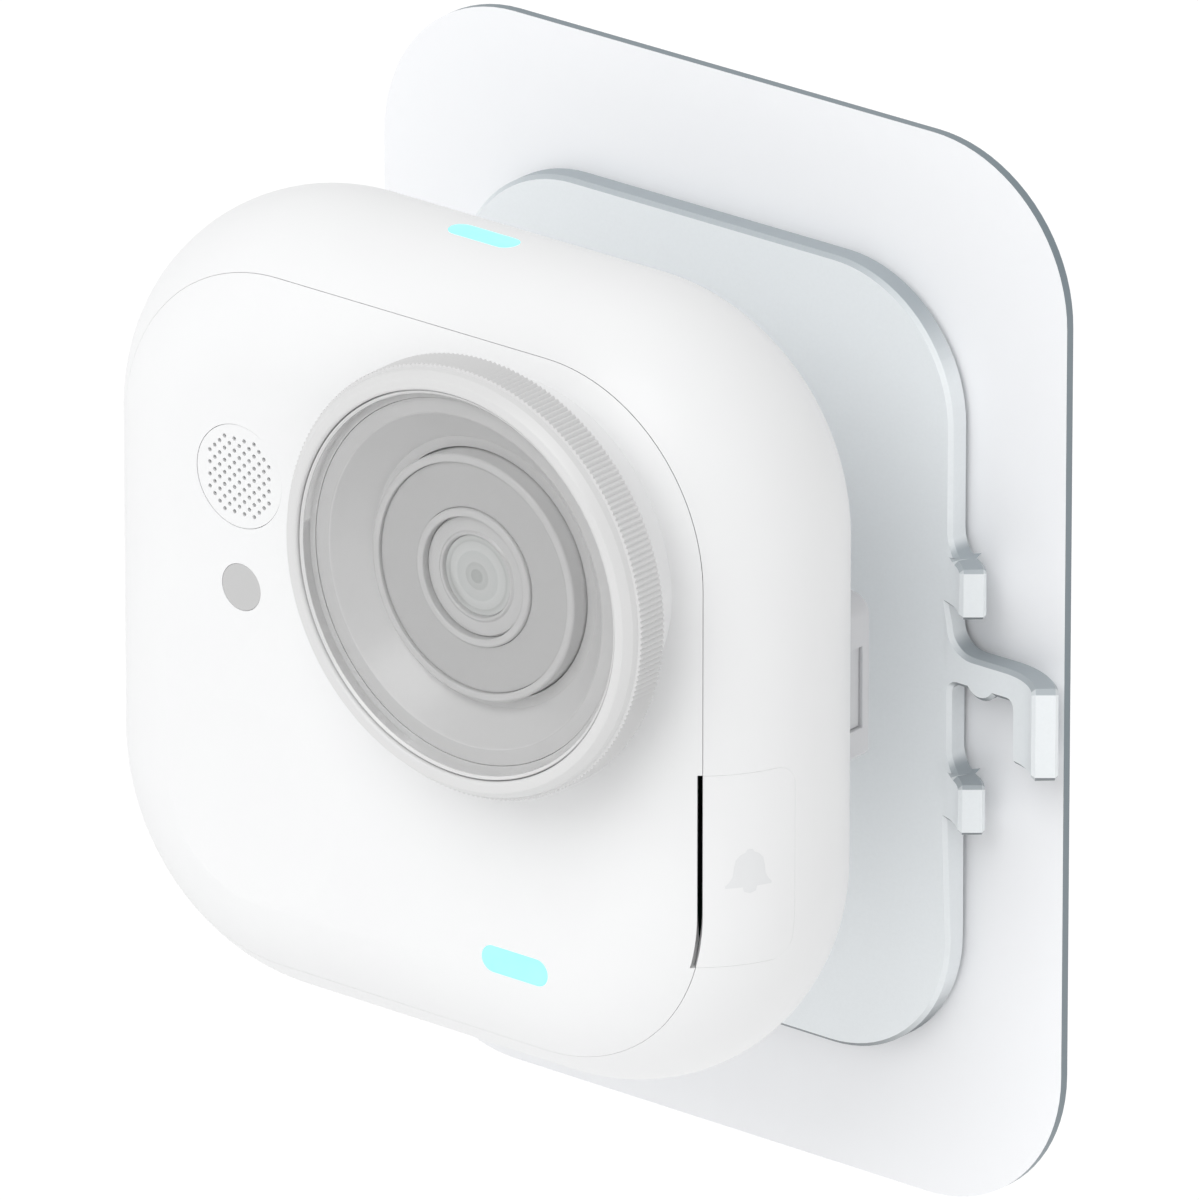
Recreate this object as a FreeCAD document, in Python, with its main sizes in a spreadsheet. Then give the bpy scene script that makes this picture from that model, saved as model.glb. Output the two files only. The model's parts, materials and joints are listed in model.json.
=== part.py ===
import FreeCAD, Part

import os
import re

import Sketcher

# A battery video doorbell with its wall plate. Millimetres, +Z up, the visitor on the -Y side.
# The origin is the centre of the backing sheet's rear face, which lies on the wall (y = 0).
# The doorbell hangs in front of its plate, drawn off it and a little above its seat.
# Inside the case a depth is counted from the front parting plane, and grows towards the wall.

SIZES = {
    # wall side
    "sheet_wide": 87.6,
    "sheet_tall": 114.6,
    "sheet_thick": 1.0,
    "sheet_corner": 17.0,
    "adhesive_wide": 60.0,
    "adhesive_tall": 80.0,
    "adhesive_thick": 0.5,
    "adhesive_corner": 12.0,
    "plate_wide": 63.6,
    "plate_tall": 85.2,
    "plate_thick": 2.7,
    "plate_corner": 15.0,
    "plate_edge": 0.48,
    "bend_inner": 7.3,
    "bend_angle": 51.0,
    "tab_bend_x": 29.4,
    "tab_low": 8.95,
    "tab_tall": 5.35,
    "arm_bend_x": 38.6,
    "arm_low": 0.4,
    "arm_tall": 3.4,
    "finger_low": -6.1,
    "finger_start_angle": 8.0,
    # where the case hangs, and the case itself
    "case_front": -49.95,
    "case_lift": 8.9,
    "case_wide": 84.4,
    "case_corner": 25.0,
    "case_thick": 29.8,
    "case_nose": 3.5,
    "case_wall": 2.0,
    "part_line": 22.8,
    "seam": 0.2,
    "round_short": 0.05,
    "ledge_outer": 34.8,
    "ledge_inner": 31.6,
    "ledge_depth": 2.5,
    "seal_outer": 35.1,
    "seal_inner": 33.9,
    "seal_depth": 0.6,
    "corner_centre": 17.2,
    # screw bosses
    "boss_place": 28.0,
    "boss_radius": 2.8,
    "boss_front": 9.6,
    "web_thick": 1.6,
    "screw_bore": 1.0,
    "screw_shank": 0.97,
    "screw_head": 1.9,
    "screw_head_tall": 1.2,
    "rear_seat": 24.0,
    "rear_screw_long": 9.0,
    "mic_port_radius": 0.5,
    "scoop_radius": 6.0,
    "scoop_x": 33.2,
    "scoop_depth": 24.6,
    "scoop_z": -41.4,
    "board_screw_long": 4.4,
    # lens group
    "lens_x": 15.9,
    "lens_z": 16.5,
    "collar_radius": 18.5,
    "collar_front": 6.6,
    "spigot_radius": 11.5,
    "spigot_bore": 10.3,
    "spigot_end": 1.0,
    "barrel_radius": 20.05,
    "barrel_front": 12.5,
    "barrel_inner": 18.95,
    "barrel_floor": 7.3,
    "glass_radius": 19.6,
    "glass_front": 12.3,
    "glass_thick": 1.0,
    "ring_radius": 22.5,
    "ring_bore": 20.12,
    "ring_front": 12.9,
    "ring_back": 7.0,
    "ring_front_edge": 1.3,
    "ring_back_edge": 0.8,
    "cone_mouth": 17.4,
    "cone_throat": 14.0,
    "cone_depth": 3.2,
    "trim_outer": 12.8,
    "trim_inner": 11.9,
    "trim_front": 10.0,
    "retainer_outer": 7.2,
    "retainer_inner": 6.3,
    "infrared_front": 9.6,
    "infrared_thick": 0.8,
    "led_thick": 0.8,
    "led_radius": 1.5,
    "led_circle": 9.5,
    "lens_board_thick": 0.55,
    "cell_radius": 6.25,
    "cell_bore": 5.2,
    "cell_front": 9.3,
    "cell_back": 3.6,
    "cell_lip": 4.1,
    "cell_lip_thick": 0.4,
    "front_lens_dome": 7.0,
    "front_lens_thick": 2.6,
    "middle_lens_place": 4.6,
    "middle_lens_thick": 2.0,
    "rear_lens_place": 0.4,
    "rear_lens_thick": 2.4,
    "spacer_bore": 3.9,
    "camera_post": 9.8,
    "camera_post_radius": 1.8,
    "camera_board_side": 24.6,
    # front fittings
    "grille_x": -19.3,
    "grille_z": 16.3,
    "grille_radius": 5.425,
    "grille_thick": 1.0,
    "grille_shoulder": 4.7,
    "grille_hole": 0.225,
    "grille_column": 0.634,
    "grille_pitch": 1.296,
    "speaker_radius": 8.5,
    "speaker_thick": 5.5,
    "speaker_seal": 0.8,
    "window_x": -19.1,
    "window_z": 4.5,
    "window_radius": 2.45,
    "window_thick": 1.4,
    "dish_x": -18.6,
    "dish_z": -19.2,
    "dish_radius": 11.5,
    "dish_depth": 0.5,
    "pill_wide": 8.3,
    "pill_tall": 2.75,
    "pill_x": 15.9,
    "pill_z": -27.0,
    "pill_fit": 0.04,
    "mid_depth": 11.4,
    # side key
    "key_top": -2.2,
    "key_tall": 20.8,
    "key_depth": 8.4,
    "key_corner": 2.2,
    "key_inner": 35.4,
    "key_fit": 0.07,
    "key_notch": 0.35,
    "switch_depth": 5.3,
    "switch_front": 34.1,
    "plunger_radius": 1.15,
    # boards and battery
    "board_wide": 66.0,
    "board_thick": 1.2,
    "board_corner": 10.0,
    "board_front": 8.4,
    "battery_wide": 56.0,
    "battery_tall": 44.0,
    "battery_thick": 9.4,
    "battery_front": 13.1,
    "tray_gap": 0.4,
    "tray_wall": 1.0,
    "tray_deep": 6.0,
    # rear bar and latch
    "bar_half": 35.3,
    "bar_bottom": -9.5,
    "bar_tall": 17.0,
    "bar_back": 28.8,
    "bar_round": 2.0,
    "bar_low_round": 0.6,
    "bar_lead": 0.5,
    "latch_low": -6.3,
    "latch_tall": 8.7,
    "latch_deep": 25.3,
    "latch_back": 27.3,
    "latch_fit": 0.12,
    "pawl_nose": 34.9,
    "pawl_step": 33.2,
    "pawl_tail": 28.0,
    "pawl_tail_deep": 26.45,
    "socket_wide": 9.0,
    "socket_tall": 3.2,
    "socket_z": -26.5,
}

GRILLE_COLUMNS = (4, 5, 6, 7, 6, 7, 6, 7, 6, 7, 6, 5, 4)
INFRARED_LEDS = 6
BAR_SCREWS = ("-22", "18")

doc = FreeCAD.newDocument("video_doorbell")
sheet = doc.addObject("Spreadsheet::Sheet", "Sizes")
for row, (alias, number) in enumerate(SIZES.items(), start=1):
    sheet.set(f"A{row}", alias)
    sheet.set(f"B{row}", str(number))
    sheet.setAlias(f"B{row}", alias)
doc.recompute()

NODES = []


def size(alias):
    """A driving dimension, read back from the sheet."""
    return float(sheet.get(alias))


def formula(text):
    """The text as an expression, with each named size pointed at its cell."""
    def to_cell(found):
        word = found.group(0)
        return "Sizes." + word if word in SIZES else word
    return re.sub(r"[a-z][a-z_0-9]*", to_cell, text)


def bind(item, prop, text):
    item.setExpression(prop, formula(text))


def place(item, x="0", y="0", z="0"):
    """Put an object's own origin at x, y, z."""
    bind(item, "Placement.Base.x", x)
    bind(item, "Placement.Base.y", y)
    bind(item, "Placement.Base.z", z)
    return item


def node(item, name):
    """Name a finished wall-side sub-part."""
    item.Label = name
    NODES.append(item)
    return item


def case_node(item, name, x="0", depth="0", z="0"):
    """Name a finished sub-part of the doorbell and put it where the case hangs."""
    place(item, x, f"case_front + {depth}", f"case_lift + {z}")
    return node(item, name)


# ---------------------------------------------------------------- shape helpers

def origin_plane(body, role):
    for feature in body.Origin.OriginFeatures:
        if feature.Role == role:
            return feature
    raise ValueError(role)


def new_sketch(body, name, role="XZ_Plane"):
    sketch = body.newObject("Sketcher::SketchObject", name)
    sketch.AttachmentSupport = (origin_plane(body, role), [""])
    sketch.MapMode = "FlatFace"
    return sketch


def sketch_rectangle(sketch, wide, tall):
    """A rectangle about the sketch's origin, its two sides bound to the sheet."""
    half = 5.0
    corners = [(-half, -half), (half, -half), (half, half), (-half, half)]
    points = [FreeCAD.Vector(x, y, 0) for x, y in corners]
    lines = []
    for first in range(4):
        line = Part.LineSegment(points[first], points[(first + 1) % 4])
        lines.append(sketch.addGeometry(line, False))
    for first in range(4):
        sketch.addConstraint(Sketcher.Constraint("Coincident", lines[first], 2, lines[(first + 1) % 4], 1))
    for flat in (0, 2):
        sketch.addConstraint(Sketcher.Constraint("Horizontal", lines[flat]))
        sketch.addConstraint(Sketcher.Constraint("Vertical", lines[flat + 1]))
    sketch.addConstraint(Sketcher.Constraint("Symmetric", lines[0], 1, lines[2], 1, -1, 1))
    across = sketch.addConstraint(Sketcher.Constraint("DistanceX", lines[0], 1, lines[0], 2, 2 * half))
    upright = sketch.addConstraint(Sketcher.Constraint("DistanceY", lines[1], 1, lines[1], 2, 2 * half))
    bind(sketch, f"Constraints[{across}]", wide)
    bind(sketch, f"Constraints[{upright}]", tall)


def sketch_circle(sketch, radius):
    """A circle about the sketch's origin, its radius bound to the sheet."""
    circle = Part.Circle(FreeCAD.Vector(0, 0, 0), FreeCAD.Vector(0, 0, 1), 1.0)
    index = sketch.addGeometry(circle, False)
    sketch.addConstraint(Sketcher.Constraint("Coincident", index, 3, -1, 1))
    bound = sketch.addConstraint(Sketcher.Constraint("Radius", index, 1.0))
    bind(sketch, f"Constraints[{bound}]", radius)


def pad_back(body, sketch, thick):
    """Pad a sketch from its plane towards the wall."""
    pad = body.newObject("PartDesign::Pad", body.Name + "_pad")
    pad.Profile = sketch
    pad.Reversed = True
    bind(pad, "Length", thick)
    doc.recompute()
    return pad


def edges_where(feature, test):
    names = []
    for index, edge in enumerate(feature.Shape.Edges, start=1):
        if test(edge):
            names.append(f"Edge{index}")
    return names


def runs_along(edge, axis):
    """True for a straight edge along one axis: 0 is X, 1 is Y and 2 is Z."""
    box = edge.BoundBox
    lengths = [box.XLength, box.YLength, box.ZLength]
    return all((length > 1e-4) == (index == axis) for index, length in enumerate(lengths))


def at_depth(edge, depth):
    box = edge.BoundBox
    return abs(box.YMin - depth) < 1e-4 and abs(box.YMax - depth) < 1e-4


def dress(body, kind, base, edges, prop, amount):
    """A fillet or chamfer on named edges of a feature."""
    dressing = body.newObject("PartDesign::" + kind, f"{body.Name}_{kind}_{len(body.Group)}")
    dressing.Base = (base, edges)
    bind(dressing, prop, amount)
    doc.recompute()
    return dressing


def slab(name, wide, tall, thick, corner=None):
    """A flat piece standing upright, its front face on y = 0, with rounded corners."""
    body = doc.addObject("PartDesign::Body", name)
    sketch = new_sketch(body, name + "_outline")
    sketch_rectangle(sketch, wide, tall)
    pad = pad_back(body, sketch, thick)
    if corner:
        dress(body, "Fillet", pad, edges_where(pad, lambda edge: runs_along(edge, 1)), "Radius", corner)
    return body


def disc(name, radius, thick, bore=None):
    """A round piece about the Y axis, its front face on y = 0, with an optional bore."""
    body = doc.addObject("PartDesign::Body", name)
    sketch = new_sketch(body, name + "_outline")
    sketch_circle(sketch, radius)
    if bore:
        sketch_circle(sketch, bore)
    pad_back(body, sketch, thick)
    return body


def pillow(name, inset):
    """The rounded-square case shape, drawn in by an inset all round."""
    body = doc.addObject("PartDesign::Body", name)
    sketch = new_sketch(body, name + "_outline")
    side = f"case_wide - 2 * {inset}"
    sketch_rectangle(sketch, side, side)
    pad = pad_back(body, sketch, f"case_thick - 2 * {inset}")
    upright = edges_where(pad, lambda edge: runs_along(edge, 1))
    corners = dress(body, "Fillet", pad, upright, "Radius", f"case_corner - {inset}")
    thick = size("case_thick") - 2 * (size(inset) if inset in SIZES else float(inset))
    rims = edges_where(corners, lambda edge: at_depth(edge, 0) or at_depth(edge, thick))
    dress(body, "Fillet", corners, rims, "Radius", f"case_thick / 2 - {inset} - round_short")
    place(body, "0", f"{inset} - case_nose", "0")
    return body


def box(name, x, y, z, wide, deep, tall):
    """A plain block from its low corner."""
    item = doc.addObject("Part::Box", name)
    bind(item, "Length", wide)
    bind(item, "Width", deep)
    bind(item, "Height", tall)
    return place(item, x, y, z)


def rod(name, radius, long, x="0", depth="0", z="0"):
    """A round bar along +Y from the given depth."""
    item = doc.addObject("Part::Cylinder", name)
    bind(item, "Radius", radius)
    bind(item, "Height", long)
    item.Placement.Rotation = FreeCAD.Rotation(FreeCAD.Vector(1, 0, 0), -90)
    return place(item, x, depth, z)


def side_rod(name, radius, long, x, depth, z):
    """A round bar along +X."""
    item = doc.addObject("Part::Cylinder", name)
    bind(item, "Radius", radius)
    bind(item, "Height", long)
    item.Placement.Rotation = FreeCAD.Rotation(FreeCAD.Vector(0, 1, 0), 90)
    return place(item, x, depth, z)


def taper(name, front_radius, back_radius, long, depth):
    """A cone along +Y."""
    item = doc.addObject("Part::Cone", name)
    bind(item, "Radius1", front_radius)
    bind(item, "Radius2", back_radius)
    bind(item, "Height", long)
    item.Placement.Rotation = FreeCAD.Rotation(FreeCAD.Vector(1, 0, 0), -90)
    return place(item, "0", depth, "0")


def cut(name, base, *tools):
    """The base less every tool, one after another."""
    for step, tool in enumerate(tools, start=1):
        item = doc.addObject("Part::Cut", f"{name}_cut{step}")
        item.Base = base
        item.Tool = tool
        base = item
    doc.recompute()
    return base


def fuse(name, *pieces):
    item = doc.addObject("Part::MultiFuse", name + "_fuse")
    item.Shapes = list(pieces)
    item.Refine = True
    doc.recompute()
    return item


def common(name, *pieces):
    item = doc.addObject("Part::MultiCommon", name + "_common")
    item.Shapes = list(pieces)
    doc.recompute()
    return item


def group(name, pieces):
    """Separate identical solids kept together as one node."""
    item = doc.addObject("Part::Compound", name + "_group")
    item.Links = pieces
    doc.recompute()
    return item


def outline(name, half, low, high):
    """A slab that follows the case's outline at a given half width, between two depths."""
    side = f"2 * ({half})"
    body = slab(name, side, side, f"({high}) - ({low})", f"{half} - corner_centre")
    return place(body, "0", low, "0")


# ---------------------------------------------------------------- wall side

def make_backing_sheet():
    body = slab("backing_sheet", "sheet_wide", "sheet_tall", "sheet_thick", "sheet_corner")
    node(place(body, "0", "-sheet_thick", "0"), "backing_sheet")


def make_adhesive_pad():
    body = slab("adhesive_pad", "adhesive_wide", "adhesive_tall", "adhesive_thick", "adhesive_corner")
    node(place(body, "0", "-sheet_thick - adhesive_thick", "0"), "adhesive_pad")


def bent_strip(name, x, low, tall, start="0"):
    """A strip of the plate curled forward about an upright bend line."""
    pieces = []
    for part, radius in (("outer", "bend_inner + plate_thick"), ("inner", "bend_inner")):
        item = doc.addObject("Part::Cylinder", f"{name}_{part}")
        bind(item, "Radius", radius)
        bind(item, "Height", tall)
        bind(item, "Angle", f"bend_angle - {start}")
        item.Placement.Rotation = FreeCAD.Rotation(FreeCAD.Vector(0, 0, 1), 90 - size("bend_angle"))
        place(item, x, "-sheet_thick - adhesive_thick - plate_thick - bend_inner", low)
        pieces.append(item)
    return cut(name, *pieces)


def make_mounting_plate():
    """A pressed plate: a pair of curled tabs each side and a J-shaped arm on the right."""
    face = "-sheet_thick - adhesive_thick - plate_thick"
    body = slab("plate_blank", "plate_wide", "plate_tall", "plate_thick", "plate_corner")
    rim = edges_where(body.Tip, lambda edge: at_depth(edge, 0))
    dress(body, "Chamfer", body.Tip, rim, "Size", "plate_edge")
    place(body, "0", face, "0")
    slots = []
    strips = []
    for side, low in (("upper", "tab_low"), ("lower", "-tab_low - tab_tall")):
        slots.append(box(f"{side}_slot", "tab_bend_x", f"{face} - 1", low,
                         "10", "plate_thick + 2", "tab_tall"))
        strips.append(bent_strip(f"{side}_tab", "tab_bend_x", low, "tab_tall"))
    right = fuse("right_tabs", *strips)
    left = doc.addObject("Part::Mirroring", "left_tabs")
    left.Source = right
    left.Normal = FreeCAD.Vector(1, 0, 0)
    right_slots = fuse("right_slots", *slots)
    left_slots = doc.addObject("Part::Mirroring", "left_slots")
    left_slots.Source = right_slots
    left_slots.Normal = FreeCAD.Vector(1, 0, 0)
    arm = box("arm_bar", "plate_wide / 2 - 0.5", face, "arm_low",
              "arm_bend_x - plate_wide / 2 + 0.5", "plate_thick", "arm_tall")
    arm_bend = bent_strip("arm_bend", "arm_bend_x", "arm_low", "arm_tall")
    finger = bent_strip("finger", "arm_bend_x", "finger_low", "arm_low - finger_low", "finger_start_angle")
    blank = cut("plate_slotted", body, right_slots, left_slots)
    node(fuse("mounting_plate", blank, right, left, arm, arm_bend, finger), "mounting_plate")


# ---------------------------------------------------------------- case

def case_corners():
    """The four screw places, as sign pairs."""
    return [(x, z) for x in ("-", "") for z in ("-", "")]


def corner_rods(name, radius, low, high, reach="boss_place"):
    rods = []
    for index, (x, z) in enumerate(case_corners()):
        rods.append(rod(f"{name}_{index}", radius, f"{high} - ({low})", f"{x}{reach}", low, f"{z}{reach}"))
    return rods


def thumb_scoop():
    """The hollow a thumb finds at the lower right of the rear edge."""
    ball = doc.addObject("Part::Sphere", "thumb_scoop")
    bind(ball, "Radius", "scoop_radius")
    return place(ball, "scoop_x", "scoop_depth", "scoop_z")


def key_blank(name, fit):
    """The side key's place in the wall: a block with its two rear corners rounded."""
    body = doc.addObject("PartDesign::Body", name)
    sketch = new_sketch(body, name + "_outline", "YZ_Plane")
    sketch_rectangle(sketch, f"2 * (key_depth - {fit})", f"key_tall - 2 * {fit}")
    pad = body.newObject("PartDesign::Pad", name + "_pad")
    pad.Profile = sketch
    pad.Length = 12.0
    doc.recompute()
    rear = edges_where(pad, lambda edge: runs_along(edge, 0) and edge.BoundBox.YMin > 0)
    dress(body, "Fillet", pad, rear, "Radius", "key_corner")
    place(body, "0", "0", "key_top - key_tall / 2")
    return body


def pill_hole(name):
    """A light guide's hole, a little larger than the guide."""
    return slab(name, "pill_wide + 2 * pill_fit", "pill_tall + 2 * pill_fit", "8", "pill_tall / 2")


def make_front_cover(outer, inner):
    """The front shell with its lens collar and every opening in its face."""
    shell = cut("cover_shell", outer, inner)
    slice_front = box("cover_slice", "-50", "-10", "-50", "100", "10 - seam / 2", "100")
    cap = common("cover_cap", shell, slice_front)
    collar = rod("collar", "collar_radius", "collar_front - 0.2", "lens_x", "-collar_front", "lens_z")
    collar = cut("collar_trim", collar, inner)
    posts = []
    for index, (x, z) in enumerate(case_corners()):
        place_x = f"lens_x {x or '+'} camera_post"
        place_z = f"lens_z {z or '+'} camera_post"
        posts.append(rod(f"camera_post_{index}", "camera_post_radius", "6.4", place_x, "-1.6", place_z))
    cover = fuse("cover_body", cap, collar, *posts)
    groove = cut("cover_groove",
                 outline("cover_groove_out", "seal_outer + 0.05", "-seam / 2 - seal_depth", "0.5"),
                 outline("cover_groove_in", "seal_inner - 0.05", "-seam / 2 - seal_depth - 0.5", "1"))
    dish = doc.addObject("Part::Sphere", "dish")
    dish_ball = "(dish_radius ^ 2 + dish_depth ^ 2) / (2 * dish_depth)"
    bind(dish, "Radius", dish_ball)
    place(dish, "dish_x", f"-case_nose + dish_depth - {dish_ball}", "dish_z")
    pill = pill_hole("cover_pill")
    tools = [
        rod("lens_hole", "spigot_radius + 0.05", "20", "lens_x", "-12", "lens_z"),
        rod("grille_seat", "grille_radius + 0.05", "8 + grille_thick + 0.05",
            "grille_x", "-case_nose - 8", "grille_z"),
        rod("grille_through", "grille_shoulder", "20", "grille_x", "-12", "grille_z"),
        rod("window_seat", "window_radius + 0.04", "8 + window_thick + 0.05",
            "window_x", "-case_nose - 8", "window_z"),
        rod("window_through", "window_radius - 0.5", "20", "window_x", "-12", "window_z"),
        place(pill, "pill_x", "-6", "pill_z"),
        box("key_relief", "key_inner - 0.1", "-seam / 2 - key_notch", "key_top - key_tall",
            "10", "3", "key_tall"),
        groove,
        dish,
    ]
    for index, (x, z) in enumerate(case_corners()):
        place_x = f"lens_x {x or '+'} camera_post"
        place_z = f"lens_z {z or '+'} camera_post"
        tools.append(rod(f"camera_bore_{index}", "0.8", "5", place_x, "0.4", place_z))
    case_node(cut("front_cover", cover, *tools), "front_cover")


def make_main_housing(outer, inner, scoop):
    """The band between the two covers, with its ledges, screw bosses and side opening."""
    shell = cut("housing_shell", outer, inner)
    band = common("housing_band", shell,
                  box("housing_slice", "-50", "seam / 2", "-50", "100", "part_line - seam", "100"))
    ledges = []
    for name, low, high in (("front", "seam / 2", "seam / 2 + ledge_depth"),
                            ("rear", "part_line - seam / 2 - ledge_depth", "part_line - seam / 2")):
        ring = cut(f"{name}_ledge", outline(f"{name}_ledge_out", "ledge_outer", low, high),
                   outline(f"{name}_ledge_in", "ledge_inner", f"{low} - 1", f"{high} + 1"))
        ledges.append(ring)
    bosses = corner_rods("boss", "boss_radius", "boss_front", "part_line - seam / 2")
    webs = []
    for index, turn in enumerate((225, 135, 315, 45)):
        web = box(f"web_{index}", f"web_thick / 2 * sin({turn})", "boss_front",
                  f"-web_thick / 2 * cos({turn})", "38", "part_line - seam / 2 - boss_front", "web_thick")
        web.Placement.Rotation = FreeCAD.Rotation(FreeCAD.Vector(0, -1, 0), turn)
        webs.append(web)
    hub = outline("web_hub", "boss_place + 1", "boss_front - 1", "part_line + 1")
    web_ring = common("web_ring", fuse("webs", *webs), outer)
    web_ring = cut("web_trim", web_ring, hub)
    housing = fuse("housing_body", band, *ledges, *bosses, web_ring)
    tools = corner_rods("boss_bore", "screw_bore", "boss_front - 1", "part_line + 1")
    key = place(key_blank("key_opening", "0"), "key_inner - 0.6", "0", "key_top - key_tall / 2")
    top_pill = pill_hole("top_pill_hole")
    top_pill.Placement.Rotation = FreeCAD.Rotation(FreeCAD.Vector(1, 0, 0), 90)
    place(top_pill, "0", "mid_depth", "case_wide / 2 - 5")
    mic_port = doc.addObject("Part::Cylinder", "mic_port")
    bind(mic_port, "Radius", "mic_port_radius")
    bind(mic_port, "Height", "4 * case_wall")
    place(mic_port, "0", "mid_depth", "-case_wide / 2 - case_wall")
    tools += [key, top_pill, mic_port, scoop]
    case_node(cut("main_housing", housing, *tools), "main_housing")


def make_rear_cover(outer, inner, scoop):
    """The rear shell, with screw wells near its corners and the charging slot."""
    shell = cut("rear_shell", outer, inner)
    cap = common("rear_cap", shell,
                 box("rear_slice", "-50", "part_line + seam / 2", "-50", "100", "10", "100"))
    seat_rods = corner_rods("rear_seat", "3.2", "part_line + seam / 2", "27")
    seats = common("rear_seats", fuse("rear_seat_rods", *seat_rods), outer)
    cover = fuse("rear_body", cap, seats)
    groove = cut("rear_groove",
                 outline("rear_groove_out", "seal_outer + 0.05",
                         "part_line", "part_line + seam / 2 + seal_depth"),
                 outline("rear_groove_in", "seal_inner - 0.05", "part_line - 1", "part_line + 3"))
    slot = slab("charge_slot", "socket_wide + 0.1", "socket_tall + 0.1", "8", "socket_tall / 2")
    tools = corner_rods("rear_bore", "screw_bore + 0.1", "part_line", "30")
    tools += corner_rods("rear_well", "screw_head + 0.15", "rear_seat", "30")
    for index, x in enumerate(BAR_SCREWS):
        tools.append(rod(f"bar_bore_{index}", "0.8", "8", x, "22", "bar_bottom + bar_tall / 2"))
    tools += [groove, place(slot, "0", "20", "socket_z"), scoop]
    case_node(cut("rear_cover", cover, *tools), "rear_cover")


def make_case_seal(name, low):
    """A square-section rubber cord set in one cover's groove."""
    ring = cut(name, outline(name + "_out", "seal_outer", low, f"{low} + seal_depth + seam"),
               outline(name + "_in", "seal_inner", f"{low} - 1", f"{low} + 3"))
    case_node(ring, name)


def screw(name, shank, long, x, seat, z, towards="front"):
    """A pan-head screw whose shank runs from its seat to the front or to the back."""
    if towards == "front":
        head = rod(name + "_head", "screw_head", "screw_head_tall", x, seat, z)
        stem = rod(name + "_stem", shank, long, x, f"{seat} - ({long})", z)
    else:
        head = rod(name + "_head", "screw_head", "screw_head_tall", x, f"{seat} - screw_head_tall", z)
        stem = rod(name + "_stem", shank, long, x, seat, z)
    return fuse(name, head, stem)


def make_case_screws():
    rear = []
    board = []
    for index, (x, z) in enumerate(case_corners()):
        place_x = f"{x}boss_place"
        place_z = f"{z}boss_place"
        rear.append(screw(f"rear_screw_{index}", "screw_shank", "rear_screw_long",
                          place_x, "rear_seat", place_z))
        board.append(screw(f"board_screw_{index}", "screw_shank", "board_screw_long",
                           place_x, "board_front", place_z, "back"))
    case_node(group("rear_screws", rear), "rear_screws")
    case_node(group("board_screws", board), "board_screws")


# ---------------------------------------------------------------- lens group

def make_lens_ring():
    """The knurled ring that turns on the barrel: a stout band with chamfered edges."""
    body = disc("lens_ring", "ring_radius", "ring_front - ring_back", "ring_bore")
    front = edges_where(body.Tip, lambda edge: at_depth(edge, 0) and edge.BoundBox.XLength > 43)
    dress(body, "Chamfer", body.Tip, front, "Size", "ring_front_edge")
    back = size("ring_front") - size("ring_back")
    rear = edges_where(body.Tip, lambda edge: at_depth(edge, back) and edge.BoundBox.XLength > 43)
    dress(body, "Chamfer", body.Tip, rear, "Size", "ring_back_edge")
    case_node(body, "lens_ring", "lens_x", "-ring_front", "lens_z")


def make_lens_barrel():
    """The fixed barrel: a cup that holds the glass and the lens group, on a short spigot."""
    cup = rod("barrel_cup", "barrel_radius", "barrel_front - collar_front - 0.05", "0", "-barrel_front")
    spigot = rod("barrel_spigot", "spigot_radius", "collar_front - spigot_end + 0.5", "0",
                 "-collar_front - 0.5")
    barrel = cut("lens_barrel", fuse("barrel_body", cup, spigot),
                 rod("glass_seat", "glass_radius + 0.05", "barrel_front - glass_front + glass_thick",
                     "0", "-barrel_front"),
                 rod("barrel_hollow", "barrel_inner", "barrel_front - barrel_floor", "0", "-barrel_front"),
                 rod("barrel_throat", "cell_radius + 0.3", "20", "0", "-barrel_front"),
                 rod("spigot_hollow", "spigot_bore", "10", "0", "-collar_front"))
    case_node(barrel, "lens_barrel", "lens_x", "0", "lens_z")


def make_lens_face():
    """The parts seen through the glass: cone, rings and the infrared window."""
    case_node(disc("cover_glass", "glass_radius", "glass_thick"),
              "cover_glass", "lens_x", "-glass_front", "lens_z")
    mouth = "-glass_front + glass_thick + 0.1"
    cone = cut("lens_cone",
               rod("cone_block", "barrel_inner - 0.05", "glass_front - glass_thick - 0.1 - barrel_floor",
                   "0", mouth),
               taper("cone_bore", "cone_mouth", "cone_throat", "cone_depth", mouth),
               rod("cone_throat_bore", "trim_outer + 0.1", "20", "0", "-barrel_front"))
    case_node(cone, "lens_cone", "lens_x", "0", "lens_z")
    case_node(disc("trim_ring", "trim_outer", "trim_front - barrel_floor", "trim_inner"),
              "trim_ring", "lens_x", "-trim_front", "lens_z")
    case_node(disc("lens_retainer", "retainer_outer", "trim_front - barrel_floor", "retainer_inner"),
              "lens_retainer", "lens_x", "-trim_front", "lens_z")
    case_node(disc("infrared_window", "trim_inner - 0.05", "infrared_thick", "retainer_outer + 0.05"),
              "infrared_window", "lens_x", "-infrared_front", "lens_z")
    case_node(disc("led_ring_board", "trim_inner - 0.05", "lens_board_thick", "retainer_outer + 0.05"),
              "led_ring_board", "lens_x", "-barrel_floor - lens_board_thick", "lens_z")
    leds = []
    for index in range(INFRARED_LEDS):
        led = rod(f"infrared_led_{index}", "led_radius", "led_thick",
                  f"led_circle * cos({index * 360 / INFRARED_LEDS})",
                  "-barrel_floor - lens_board_thick - led_thick",
                  f"led_circle * sin({index * 360 / INFRARED_LEDS})")
        leds.append(led)
    case_node(group("infrared_leds", leds), "infrared_leds", "lens_x", "0", "lens_z")


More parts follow.
